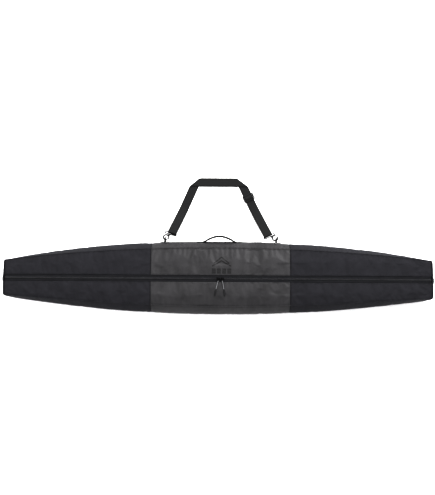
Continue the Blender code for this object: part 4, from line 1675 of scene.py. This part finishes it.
@dataclass
class SnapHook:
    """One end of the strap's hardware: D-ring, tab, snap hook, gate and the webbing bar.

    Args:
        form: the bag's outline.
        end: which end of the strap.
        bar_turn: how far the webbing bar is turned from the bag's length.
        radius: radius of the hook's ring.
        wire: half the thickness of the ring's wire.
        d_radius: radius of the D-ring.
        d_wire: half the thickness of its wire.
        tab_steps: where the tab lies flat, measured from the D-ring along the bag.
        tab_thickness: thickness of the tab's webbing.
        gate_wire: half the thickness of the gate's wire.
        collar: the swivel collar as (distance past the ring, radius).
        bar_half: half the length of the webbing bar's loop.
        bar_near: its side next to the hook, from the loop's middle.
        bar_far: its side under the webbing.
        bar_wire: half the thickness of its wire.
        bar_corner: radius of its corners.
    """

    form: BagForm
    end: End
    bar_turn: float
    radius: float = 0.0120
    wire: float = 0.0025
    d_radius: float = 0.018
    d_wire: float = 0.0023
    tab_steps: tuple = (0.0050, 0.008, 0.014, 0.020)
    tab_thickness: float = 0.0010
    gate_wire: float = 0.0016
    collar: tuple = (
        (0.0010, 0.0030),
        (0.0016, 0.0040),
        (0.0032, 0.0040),
        (0.0040, 0.0034),
        (0.0052, 0.0034),
        (0.0056, 0.0028),
    )
    bar_half: float = 0.0262
    bar_near: float = -0.0045
    bar_far: float = 0.0038
    bar_wire: float = 0.0016
    bar_corner: float = 0.0030

    def dress(self) -> None:
        """Makes every piece of the hardware."""
        self.frame = HookFrame(self.end)
        self.d_ring()
        self.tab()
        self.hook()
        self.gate()
        self.bar()

    def d_ring(self) -> None:
        """A welded D of round wire, straight where the tab holds it."""
        name = f"{self.end.word}_d_ring"
        centre = Vector(joint(f"{name}_turn")["pos_m"])
        self.ring_centre = centre
        corner = math.radians(86)
        path = []
        for turn in spread(-corner, corner, 32):
            path.append(centre + self.d_radius * Vector((0, math.cos(turn), math.sin(turn))))
        for share in spread(0.9, -0.9, 8):
            path.append(centre + Vector((0, 0, self.d_radius * share)))
        shape = Shape()
        shape.tube(path, self.d_wire, sides=14, closed=True, up=ALONG_BAG)
        cast(shape, name, name, "wire")

    def tab(self) -> None:
        """The short webbing that wraps the D-ring and is sewn to the side on both sides of it."""
        name = f"{self.end.word}_ring_tab"
        x, y = self.ring_centre.x, self.ring_centre.y
        foot_y = float(self.form.width_at(x) + self.form.sway(x)) + 0.0014
        wrap = self.d_wire + 0.0009
        flat = [(d, foot_y + 0.0003 * (d < 0.01)) for d in self.tab_steps]
        path = [(x - d, py) for d, py in reversed(flat)]
        for k in range(17):
            turn = math.radians(222 - 264 * k / 16)
            path.append((x + wrap * math.cos(turn), y + wrap * math.sin(turn)))
        path += [(x + d, py) for d, py in flat]
        low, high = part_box(name)
        pairs = []
        faces = []
        for (px, py), (run_x, run_y) in along_path(path):
            faces.append((-run_y, run_x, 0.0))
            pairs.append(((px, py, low.z), (px, py, high.z)))
        shape = Shape()
        shape.strip(pairs, self.tab_thickness, faces)
        settle(shape.make(f"{name}_webbing", [NARROW]), "bag", "webbing", name)
        thread = Shape()
        for side in (-1, 1):
            near = Vector((x + side * 0.0075, foot_y + 0.0010, (low.z + high.z) / 2))
            far = Vector((x + side * 0.0188, foot_y + 0.0008, near.z))
            box_stitch(thread, near, far, (high.z - low.z) / 2 - BOX_MARGIN)
        settle(thread.make(f"{name}_stitching", [THREAD]), "bag", "webbing")

    def hook(self) -> None:
        """The hook's open ring, thick at the back, and its swivel collar."""
        name = f"{self.end.word}_snap_hook"
        frame = self.frame
        shape = Shape()
        up = tuple(frame.face)
        path = [frame.at(0, self.radius + past) for past in (0.0040, 0.0020)]
        path += [frame.on_ring(t, self.radius) for t in range(98, 337, 7)]
        thick = [self.wire] * 2
        thick += [self.wire * (1 + 0.10 * math.sin(math.pi * k / 34)) for k in range(len(path) - 2)]
        thick[-1] = self.wire * 0.86
        shape.tube(path, thick, sides=14, up=up)
        lug = [frame.on_ring(t, self.radius) for t in (92, 84, 76, 70)]
        shape.tube(lug, [0.0024, 0.0022, 0.0019, 0.0016], sides=12, up=up)
        marks = [frame.at(0, self.radius + past) for past, _ in self.collar]
        shape.tube(marks, [radius for _, radius in self.collar], sides=18, up=up)
        cast(shape, name, f"{self.end.word}_hook")

    def gate(self) -> None:
        """The sprung gate that closes the ring, with its hinge knuckle."""
        name = f"{self.end.word}_hook_gate"
        frame = self.frame
        shape = Shape()
        path = [frame.on_ring(t, self.radius) for t in range(66, -5, -7)]
        wire = self.gate_wire
        shape.tube(path, [wire] * (len(path) - 1) + [0.0014], sides=12, up=tuple(frame.face))
        knuckle = [path[0] + frame.face * d for d in both_ways((0.0020, 0.0017))]
        shape.tube(knuckle, [0.0012, wire, wire, 0.0012], sides=12, up=tuple(frame.run))
        cast(shape, name, f"{self.end.word}_gate", "wire")

    def bar(self) -> None:
        """The rectangular loop that the webbing wraps, with the swivel post."""
        name = f"{self.end.word}_strap_bar"
        frame = self.frame
        flat_x = Vector((1, 0, 0))
        flat_y = frame.face.cross(flat_x)
        c, s = math.cos(self.bar_turn), math.sin(self.bar_turn)
        along = c * flat_x + s * flat_y
        out = -s * flat_x + c * flat_y
        up = tuple(frame.face)
        half, near, far, corner = self.bar_half, self.bar_near, self.bar_far, self.bar_corner
        path = []
        for quarter, (cx, cy) in enumerate(((half, far), (-half, far), (-half, near), (half, near))):
            for turn in spread(90 * quarter, 90 * quarter + 90, 5):
                a = math.radians(turn)
                px = cx - math.copysign(corner, cx) + corner * math.cos(a)
                py = cy - math.copysign(corner, cy) + corner * math.sin(a)
                path.append(frame.bar_centre + px * along + py * out)
        shape = Shape()
        shape.tube(path, self.bar_wire, sides=12, closed=True, up=up)
        start = frame.at(0, self.radius + 0.0062)
        seat = frame.bar_centre + near * out
        shape.tube([start, start.lerp(seat, 0.4), seat], [0.0026, 0.0022, 0.0030], sides=12, up=up)
        cast(shape, name, "shoulder_strap")


@dataclass
class ShoulderStrap:
    """The long strap: one length of webbing, folded over at two corners and sewn at its ends.

    Args:
        fold_radius: radius of the two folds.
        thickness: thickness of the webbing.
        floor_z: height of the lower layer where it lies on the floor.
        layer_gap: clear room between two layers.
        corners: plan points of each fold: the leg's outer and inner edge, and the fold's top.
        feet: plan point of each leg's foot, at its webbing bar.
        rise: how the legs climb to the hooks, as factors of the squared and the cubed share.
        lift_y: distance from the zip at which the legs leave the floor.
        hook_y: distance from the zip at which they have reached the hooks' height.
        width: width of the webbing.
        wrap: how far the webbing turns past its foot, round the bar.
        sewn_share: share of the left leg that its sewn return covers.
        doubled_share: share of the right leg that its second layer covers.
        slot_x: half the length of the adjuster and of its slots.
        slot_y: its edges and the edges of its slots along the webbing.
        bridge: the webbing over the adjuster's bar, as (along, height).
    """

    fold_radius: float = 0.0012
    thickness: float = 0.0020
    floor_z: float = 0.0016
    layer_gap: float = 0.0002
    corners: dict = field(default_factory=lambda: {
        End.LEFT: ((-0.1368, 0.4355), (-0.0934, 0.4370), (-0.0885, 0.4765)),
        End.RIGHT: ((0.1370, 0.4355), (0.0928, 0.4370), (0.0830, 0.4765)),
    })
    feet: dict = field(default_factory=lambda: {
        End.LEFT: (-0.2110, 0.2164),
        End.RIGHT: (0.2247, 0.2057),
    })
    rise: tuple[float, float] = (0.1065, -0.0500)
    lift_y: float = 0.355
    hook_y: float = 0.205
    width: float = 0.040
    wrap: float = 0.0098
    sewn_share: float = 0.17
    doubled_share: float = 0.70
    slot_x: tuple = (0.0255, 0.0213)
    slot_y: tuple = (0.0160, 0.0120, 0.0030)
    bridge: tuple = (
        (-0.0108, 0.0052),
        (-0.0080, 0.0060),
        (-0.0048, 0.0086),
        (-0.0020, 0.0096),
        (0.0, 0.0098),
    )

    def height(self, y: float) -> float:
        """Height of the lower layer: on the floor far out, and rising to the hooks."""
        share = max(0.0, (self.lift_y - y) / (self.lift_y - self.hook_y))
        return 0.0015 + self.rise[0] * share**2 + self.rise[1] * share**3

    def dress(self) -> None:
        """Makes the strap, its sewn left end, its doubled right end and the adjuster."""
        stations = self.leg(End.LEFT) + self.turn(End.LEFT)
        stations += self.top_run()
        stations += self.turn(End.RIGHT)[::-1] + self.leg(End.RIGHT)[::-1]
        shape = Shape()
        shape.strip([pair for pair, _ in stations], self.thickness, [face for _, face in stations])
        nodes = ("strap_left_leg", "strap_right_leg", "strap_top_run")
        settle(shape.make("shoulder_strap_webbing", [STRAP]), "shoulder_strap", "webbing", *nodes)
        self.sewn_end()
        shares = spread(0.0, self.doubled_share, 36)
        self.around(End.RIGHT, shares, self.thickness + self.layer_gap, "right_strap_return")
        self.adjuster()

    def ends(self, end: End) -> tuple[Vector, Vector]:
        """Plan points of a leg's foot and of its head at the fold."""
        low, inner, _ = self.corners[end]
        return Vector(self.feet[end]), (Vector(low) + Vector(inner)) / 2

    def station(self, end: End, share: float, layer: float = 0.0) -> tuple:
        """Outer and inner edge point of a leg at a share of its length from the foot."""
        foot, head = self.ends(end)
        run = (head - foot).normalized()
        out = Vector((-run.y, run.x)) * self.width / 2 * (1 if end is End.LEFT else -1)
        centre = foot + (head - foot) * share
        z = self.height(centre.y) + layer
        sway = 0.0006 * ripple(share * 7, 1.0, 5.0 * end.value)
        first, second = centre + out, centre - out
        return (first.x, first.y, z + abs(sway)), (second.x, second.y, z)

    def tilt(self, end: End, share: float) -> Vector:
        """The face direction of a leg's webbing."""
        foot, head = self.ends(end)
        step = 0.01
        a, b = foot + (head - foot) * (share - step), foot + (head - foot) * (share + step)
        run = Vector((b.x - a.x, b.y - a.y, self.height(b.y) - self.height(a.y))).normalized()
        flat = Vector((-run.y, run.x, 0)).normalized()
        return run.cross(flat)

    def leg(self, end: End) -> list:
        """A leg's lower layer from the foot to the fold, as edge pairs with their faces."""
        shares = spread(0.0, 0.93, 44)
        stations = [(self.station(end, share), self.tilt(end, share)) for share in shares]
        low, inner, _ = self.corners[end]
        stations.append((((*low, self.floor_z), (*inner, self.floor_z)), FLAT_UP))
        return stations

    def turn(self, end: End) -> list:
        """The fold over a corner, from the lower layer to the upper one."""
        low, _, high = self.corners[end]
        low, high = Vector((*low, 0.0)), Vector((*high, 0.0))
        out = (high - low).cross(Vector((0, 0, 1))).normalized()
        if out.x * end.value < 0:
            out = -out
        radius = self.fold_radius
        stations = []
        for turn in spread(0.0, math.pi, 8):
            rise = Vector((0, 0, self.floor_z + radius * (1 - math.cos(turn))))
            shift = out * (radius * math.sin(turn) - 0.001) + rise
            face = -math.sin(turn) * out + math.cos(turn) * FLAT_UP
            stations.append(((low + shift, high + shift), face))
        return stations

    def top_run(self) -> list:
        """The upper layer between the two folds, face down."""
        left, right = self.corners[End.LEFT], self.corners[End.RIGHT]
        top = self.floor_z + 2 * self.fold_radius
        stations = []
        for share in spread(0.0, 1.0, 26):
            lower = Vector((*left[1], top)).lerp(Vector((*right[1], top)), share)
            upper_left = Vector((left[2][0] + 0.010, left[2][1], top))
            upper_right = Vector((right[2][0] - 0.010, right[2][1], top))
            upper = upper_left.lerp(upper_right, share)
            sag = 0.0004 * ripple(share * 6, 0.0, 11.0)
            drawn = Vector((0, sag, 0))
            stations.append(((lower - drawn, upper + drawn), -FLAT_UP))
        return stations

    def sewn_end(self) -> None:
        """The left end: the webbing turns round the bar and is sewn to its own underside."""
        shares = spread(0.0, self.sewn_share, 9)
        self.around(End.LEFT, shares, -self.thickness - self.layer_gap, "left_strap_return")
        first, last = shares[2], shares[-1] - 0.01
        edges = (0.06, 0.94)
        rows = [[(share, v) for v in edges] for share in (first, last, (first + last) / 2)]
        rows += [[(share, v) for share in spread(first, last, 6)] for v in edges]
        thread = Shape()
        for row in rows:
            marks = []
            for share, v in row:
                outer, inner = self.station(End.LEFT, share, 0.0012)
                marks.append(Vector(outer).lerp(Vector(inner), v))
            thread.stitches(marks, BOX_PITCH)
        settle(thread.make("left_strap_stitching", [THREAD]), "shoulder_strap", "webbing")

    def around(self, end: End, shares: list, layer: float, name: str) -> None:
        """A second layer of webbing on a leg, with its turn round the bar.

        Args:
            end: which leg.
            shares: where the layer runs, in shares of the leg's length from the foot.
            layer: its height above the leg's own layer.
            name: the piece's name.
        """
        side = math.copysign(1.0, layer)
        first = self.station(end, 0.0)
        face = self.tilt(end, 0.0)
        middle_a = Vector(first[0]) + face * layer / 2
        middle_b = Vector(first[1]) + face * layer / 2
        foot, head = self.ends(end)
        run = (foot - head).normalized()
        back = Vector((run.x, run.y, 0)).normalized()
        back = (back - back.project(face)).normalized()
        radius = abs(layer) / 2
        pairs = []
        faces = []
        for turn in spread(0.0, math.pi, 8):
            shift = back * self.wrap * math.sin(turn) - face * side * radius * math.cos(turn)
            pairs.append((middle_a + shift, middle_b + shift))
            faces.append(face * side * math.cos(turn) - back * math.sin(turn))
        for share in shares[1:]:
            a, b = self.station(end, share)
            lift = self.tilt(end, share) * layer
            pairs.append((Vector(a) + lift, Vector(b) + lift))
            faces.append(-side * self.tilt(end, share))
        shape = Shape()
        shape.strip(pairs, self.thickness, faces)
        settle(shape.make(name, [STRAP]), "shoulder_strap", "webbing")

    def adjuster(self) -> None:
        """The tri-glide with the bridge of webbing through its two slots."""
        low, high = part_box("tri_glide")
        centre = (low + high) / 2
        axis = Vector(joint("tri_glide_adjust")["axis"]).normalized()
        across = Vector((-axis.y, axis.x, 0))

        def place(p: Vector) -> Vector:
            """Turns a point of the adjuster into the strap's direction."""
            return Vector((centre.x, centre.y, 0)) + p.x * across + p.y * axis + Vector((0, 0, p.z))

        shape = Shape()
        xs = both_ways(self.slot_x)
        ys = both_ways(self.slot_y)
        filled = {(i, j, 0) for i in range(3) for j in range(5)} - {(1, 1, 0), (1, 3, 0)}
        shape.cells(xs, ys, [low.z, high.z], filled)
        shape.move(place)
        mould(shape, "tri_glide", "tri_glide", 0.0008)
        path = list(self.bridge) + [(-y, z) for y, z in reversed(self.bridge[:-1])]
        pairs = []
        faces = []
        for (y, z), (run_y, run_z) in along_path(path):
            face = (axis * run_y + Vector((0, 0, run_z))).cross(across)
            faces.append(face * (1 if face.z > 0 else -1))
            middle = Vector((centre.x, centre.y, 0)) + axis * y + Vector((0, 0, z))
            half = across * self.width / 2
            pairs.append((middle - half, middle + half))
        strip = Shape()
        strip.strip(pairs, 0.0018, faces)
        settle(strip.make("tri_glide_webbing", [STRAP]), "tri_glide", "webbing")


@dataclass
class TieDown:
    """An inner strap over the skis with its side-release buckle.

    Args:
        end: the end of the bag that it lies nearer to.
        socket_x: half the width of the socket and of its hollow.
        socket_floor: thickness of the socket's closed end.
        hollow_z: bottom and top of the hollow, above the socket's underside.
        plug_x: half the width of the plug, and the edges of its three prongs.
        plug_y: end of the prongs and edges of the webbing slot, along the plug.
    """

    end: End
    socket_x: tuple = (0.0165, 0.0130)
    socket_floor: float = 0.0035
    hollow_z: tuple = (0.0018, 0.0062)
    plug_x: tuple = (0.0155, 0.0120, 0.0078, 0.0020)
    plug_y: tuple = (0.022, 0.028, 0.034)

    def dress(self) -> None:
        """Makes both webbing halves, the socket and the plug."""
        word = self.end.word
        for part in ("long", "short"):
            name = f"{word}_tie_{part}_half"
            low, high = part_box(name)
            z = (low.z + high.z) / 2
            pairs = []
            for y in spread(low.y, high.y, 24):
                rise = 0.0006 * abs(ripple(y * 40, 0.0, low.x))
                pairs.append(((low.x, y, z + rise), (high.x, y, z + rise)))
            shape = Shape()
            shape.strip(pairs, high.z - low.z)
            settle(shape.make(f"{name}_webbing", [NARROW]), "bag", "webbing", name)
        self.socket()
        self.plug()

    def socket(self) -> None:
        """The hollow half of the buckle."""
        name = f"{self.end.word}_buckle_socket"
        low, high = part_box(name)
        x = (low.x + high.x) / 2
        xs = [x + d for d in both_ways(self.socket_x)]
        ys = [low.y, low.y + self.socket_floor, high.y]
        zs = [low.z, *(low.z + rise for rise in self.hollow_z), high.z]
        filled = {(i, j, k) for i in range(3) for j in range(2) for k in range(3)} - {(1, 1, 1)}
        shape = Shape()
        shape.cells(xs, ys, zs, filled)
        mould(shape, name, "bag", 0.0007)

    def plug(self) -> None:
        """The pronged half of the buckle."""
        name = f"{self.end.word}_buckle_plug"
        low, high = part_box(name)
        x = (low.x + high.x) / 2
        xs = [x + d for d in both_ways(self.plug_x)]
        ys = [low.y, *(low.y + run for run in self.plug_y), high.y]
        prongs = {(i, 0, 0) for i in (1, 3, 5)}
        rim = {(i, j, 0) for i in range(7) for j in (1, 2, 3)} - {(i, 2, 0) for i in (2, 3, 4)}
        shape = Shape()
        shape.cells(xs, ys, [low.z, high.z], prongs | rim)
        mould(shape, name, f"{self.end.word}_plug", 0.0005)


@dataclass
class Emblem:
    """A plain tonal emblem printed beside the zip: two nested peaks over a grid of blocks.

    Args:
        form: the bag's outline; not used.
        panel: the cover that it is printed on.
        centre_x: its middle along the bag.
        band: width of a printed band.
        peaks: each peak as (half of its span, height of its feet, height of its top).
        columns: middles of the blocks along the bag.
        rows: heights of the blocks above the zip.
        half_block: half the length of a block.
    """

    form: BagForm
    panel: FrontPanel
    centre_x: float = 0.0145
    band: float = 0.0055
    peaks: tuple = ((0.034, 0.068, 0.096), (0.042, 0.055, 0.080))
    columns: tuple = (-0.0345, -0.0115, 0.0115, 0.0345)
    rows: tuple = (0.0255, 0.0335, 0.0415)
    half_block: float = 0.0085

    def dress(self) -> None:
        """Prints the emblem on the fabric."""
        shape = Shape()
        for foot_x, foot_y, peak_y in self.peaks:
            for side in (-1, 1):
                self.bar(shape, (side * foot_x, foot_y), (0.0, peak_y))
        for x in self.columns:
            for y in self.rows:
                self.bar(shape, (x - self.half_block, y), (x + self.half_block, y))
        piece = shape.make("tonal_emblem", [PRINT])
        fold_over(piece)
        settle(piece, "", "centre_fabric")

    def bar(self, shape: Shape, start: tuple, end: tuple) -> None:
        """Adds one printed band between two places (from the emblem's middle, from the zip)."""
        grids = []
        for lift in (0.00030, 0.00005):
            rows = []
            for share in spread(0.0, 1.0, 14):
                x = self.centre_x + start[0] + (end[0] - start[0]) * share
                y = start[1] + (end[1] - start[1]) * share
                row = []
                for offset in spread(-self.band / 2, self.band / 2, 3):
                    v = self.panel.across(x, y + offset)
                    row.append(self.panel.at(x, v, lift))
                rows.append(row)
            grids.append(np.array(rows, float))
        shape.slab(grids[0], grids[1], (0, 0, 0))


# The studio


@dataclass
class Studio:
    """Floor, light and camera.

    Args:
        distance: from the camera to its target.
        tilt: how far the camera leans toward the lower side of the bag.
        roll: how far it is turned about its own axis.
        view_height: height of the picture at the target.
        target: where the camera points.
        floor_half: half the width of the floor.
        floor_z: height of the floor, just under the bag.
        lamps: each lamp's name, place, width and power.
        lamp_target: where the lamps point.
        surround: strength of the white surroundings.
    """

    distance: float = 3.70
    tilt: float = math.radians(5.5)
    roll: float = math.radians(0.38)
    view_height: float = 2.252
    target: tuple[float, float, float] = (-0.004, 0.1455, 0.070)
    floor_half: float = 12.0
    floor_z: float = -0.0002
    lamps: tuple = (
        ("key", (2.6, 4.2, 4.4), 3.0, 330.0),
        ("fill", (-2.6, 0.5, 5.0), 3.5, 70.0),
    )
    lamp_target: tuple[float, float, float] = (0.0, 0.1, 0.0)
    surround: float = 0.88

    def build(self) -> None:
        """Sets everything around the bag."""
        self.floor()
        self.light()
        self.camera()

    def floor(self) -> None:
        """A wide, plain, pale floor."""
        sides = (-self.floor_half, self.floor_half)
        shape = Shape()
        first = shape.lay([(x, y, self.floor_z) for x in sides for y in sides])
        shape.quads(first, 2, 2)
        shape.make("floor", [FLOOR])

    def light(self) -> None:
        """White surroundings with a large soft lamp at the upper right."""
        scene = bpy.context.scene
        world = bpy.data.worlds.new("studio")
        world.use_nodes = True
        background = world.node_tree.nodes["Background"]
        background.inputs["Color"].default_value = (1.0, 1.0, 1.0, 1.0)
        background.inputs["Strength"].default_value = self.surround
        scene.world = world
        for name, place, size, power in self.lamps:
            data = bpy.data.lights.new(name, "AREA")
            data.shape = "SQUARE"
            data.size = size
            data.energy = power
            lamp = bpy.data.objects.new(name, data)
            lamp.location = place
            toward = Vector(self.lamp_target) - Vector(place)
            lamp.rotation_euler = toward.to_track_quat("-Z", "Y").to_euler()
            scene.collection.objects.link(lamp)
        scene.view_settings.view_transform = "Standard"
        scene.view_settings.exposure = 0.95
        scene.view_settings.gamma = 0.55

    def camera(self) -> None:
        """A long lens above the bag, tilted a little toward its lower side."""
        data = bpy.data.cameras.new("camera")
        data.sensor_fit = "VERTICAL"
        data.sensor_height = 36.0
        data.lens = data.sensor_height * self.distance / self.view_height
        camera = bpy.data.objects.new("camera", data)
        back = Vector((0.0, -math.sin(self.tilt), math.cos(self.tilt)))
        camera.location = Vector(self.target) + self.distance * back
        aim = (-back).to_track_quat("-Z", "Y")
        camera.rotation_euler = (aim @ Quaternion((0, 0, 1), self.roll)).to_euler()
        bpy.context.scene.collection.objects.link(camera)
        bpy.context.scene.camera = camera


# The whole bag


@dataclass
class SkiBag:
    """The whole bag, built from the inside out."""

    form: BagForm

    def build(self) -> None:
        """Builds every part of the bag in order."""
        fronts = {(h, s): FrontPanel(self.form, h, s) for h in Half for s in Section}
        sides = {(h, s): GussetPanel(self.form, h, s) for h in Half for s in Section}
        panels = [*fronts.values(), *sides.values()]
        crease(panels)
        BackPanel(self.form).dress()
        for panel in panels:
            panel.dress()
        Seams(self.form, fronts, sides).dress()
        for end in End:
            EndPanel(self.form, end).dress()
        for half in Half:
            ZipHalf(half).dress()
        Slider(End.LEFT, reach=-0.0165).dress()
        Slider(End.RIGHT, reach=0.0120).dress()
        Emblem(self.form, fronts[Half.UPPER, Section.CENTRE]).dress()
        CarryHandle(self.form).dress()
        SnapHook(self.form, End.LEFT, bar_turn=math.radians(-18)).dress()
        SnapHook(self.form, End.RIGHT, bar_turn=math.radians(25)).dress()
        ShoulderStrap().dress()
        for end in End:
            TieDown(end).dress()


def main() -> None:
    """Dresses the bag, then sets the studio."""
    logging.basicConfig(level=logging.INFO, format="%(message)s")
    SkiBag(BagForm.from_frame()).build()
    Studio().build()


if __name__ == "__main__":
    main()
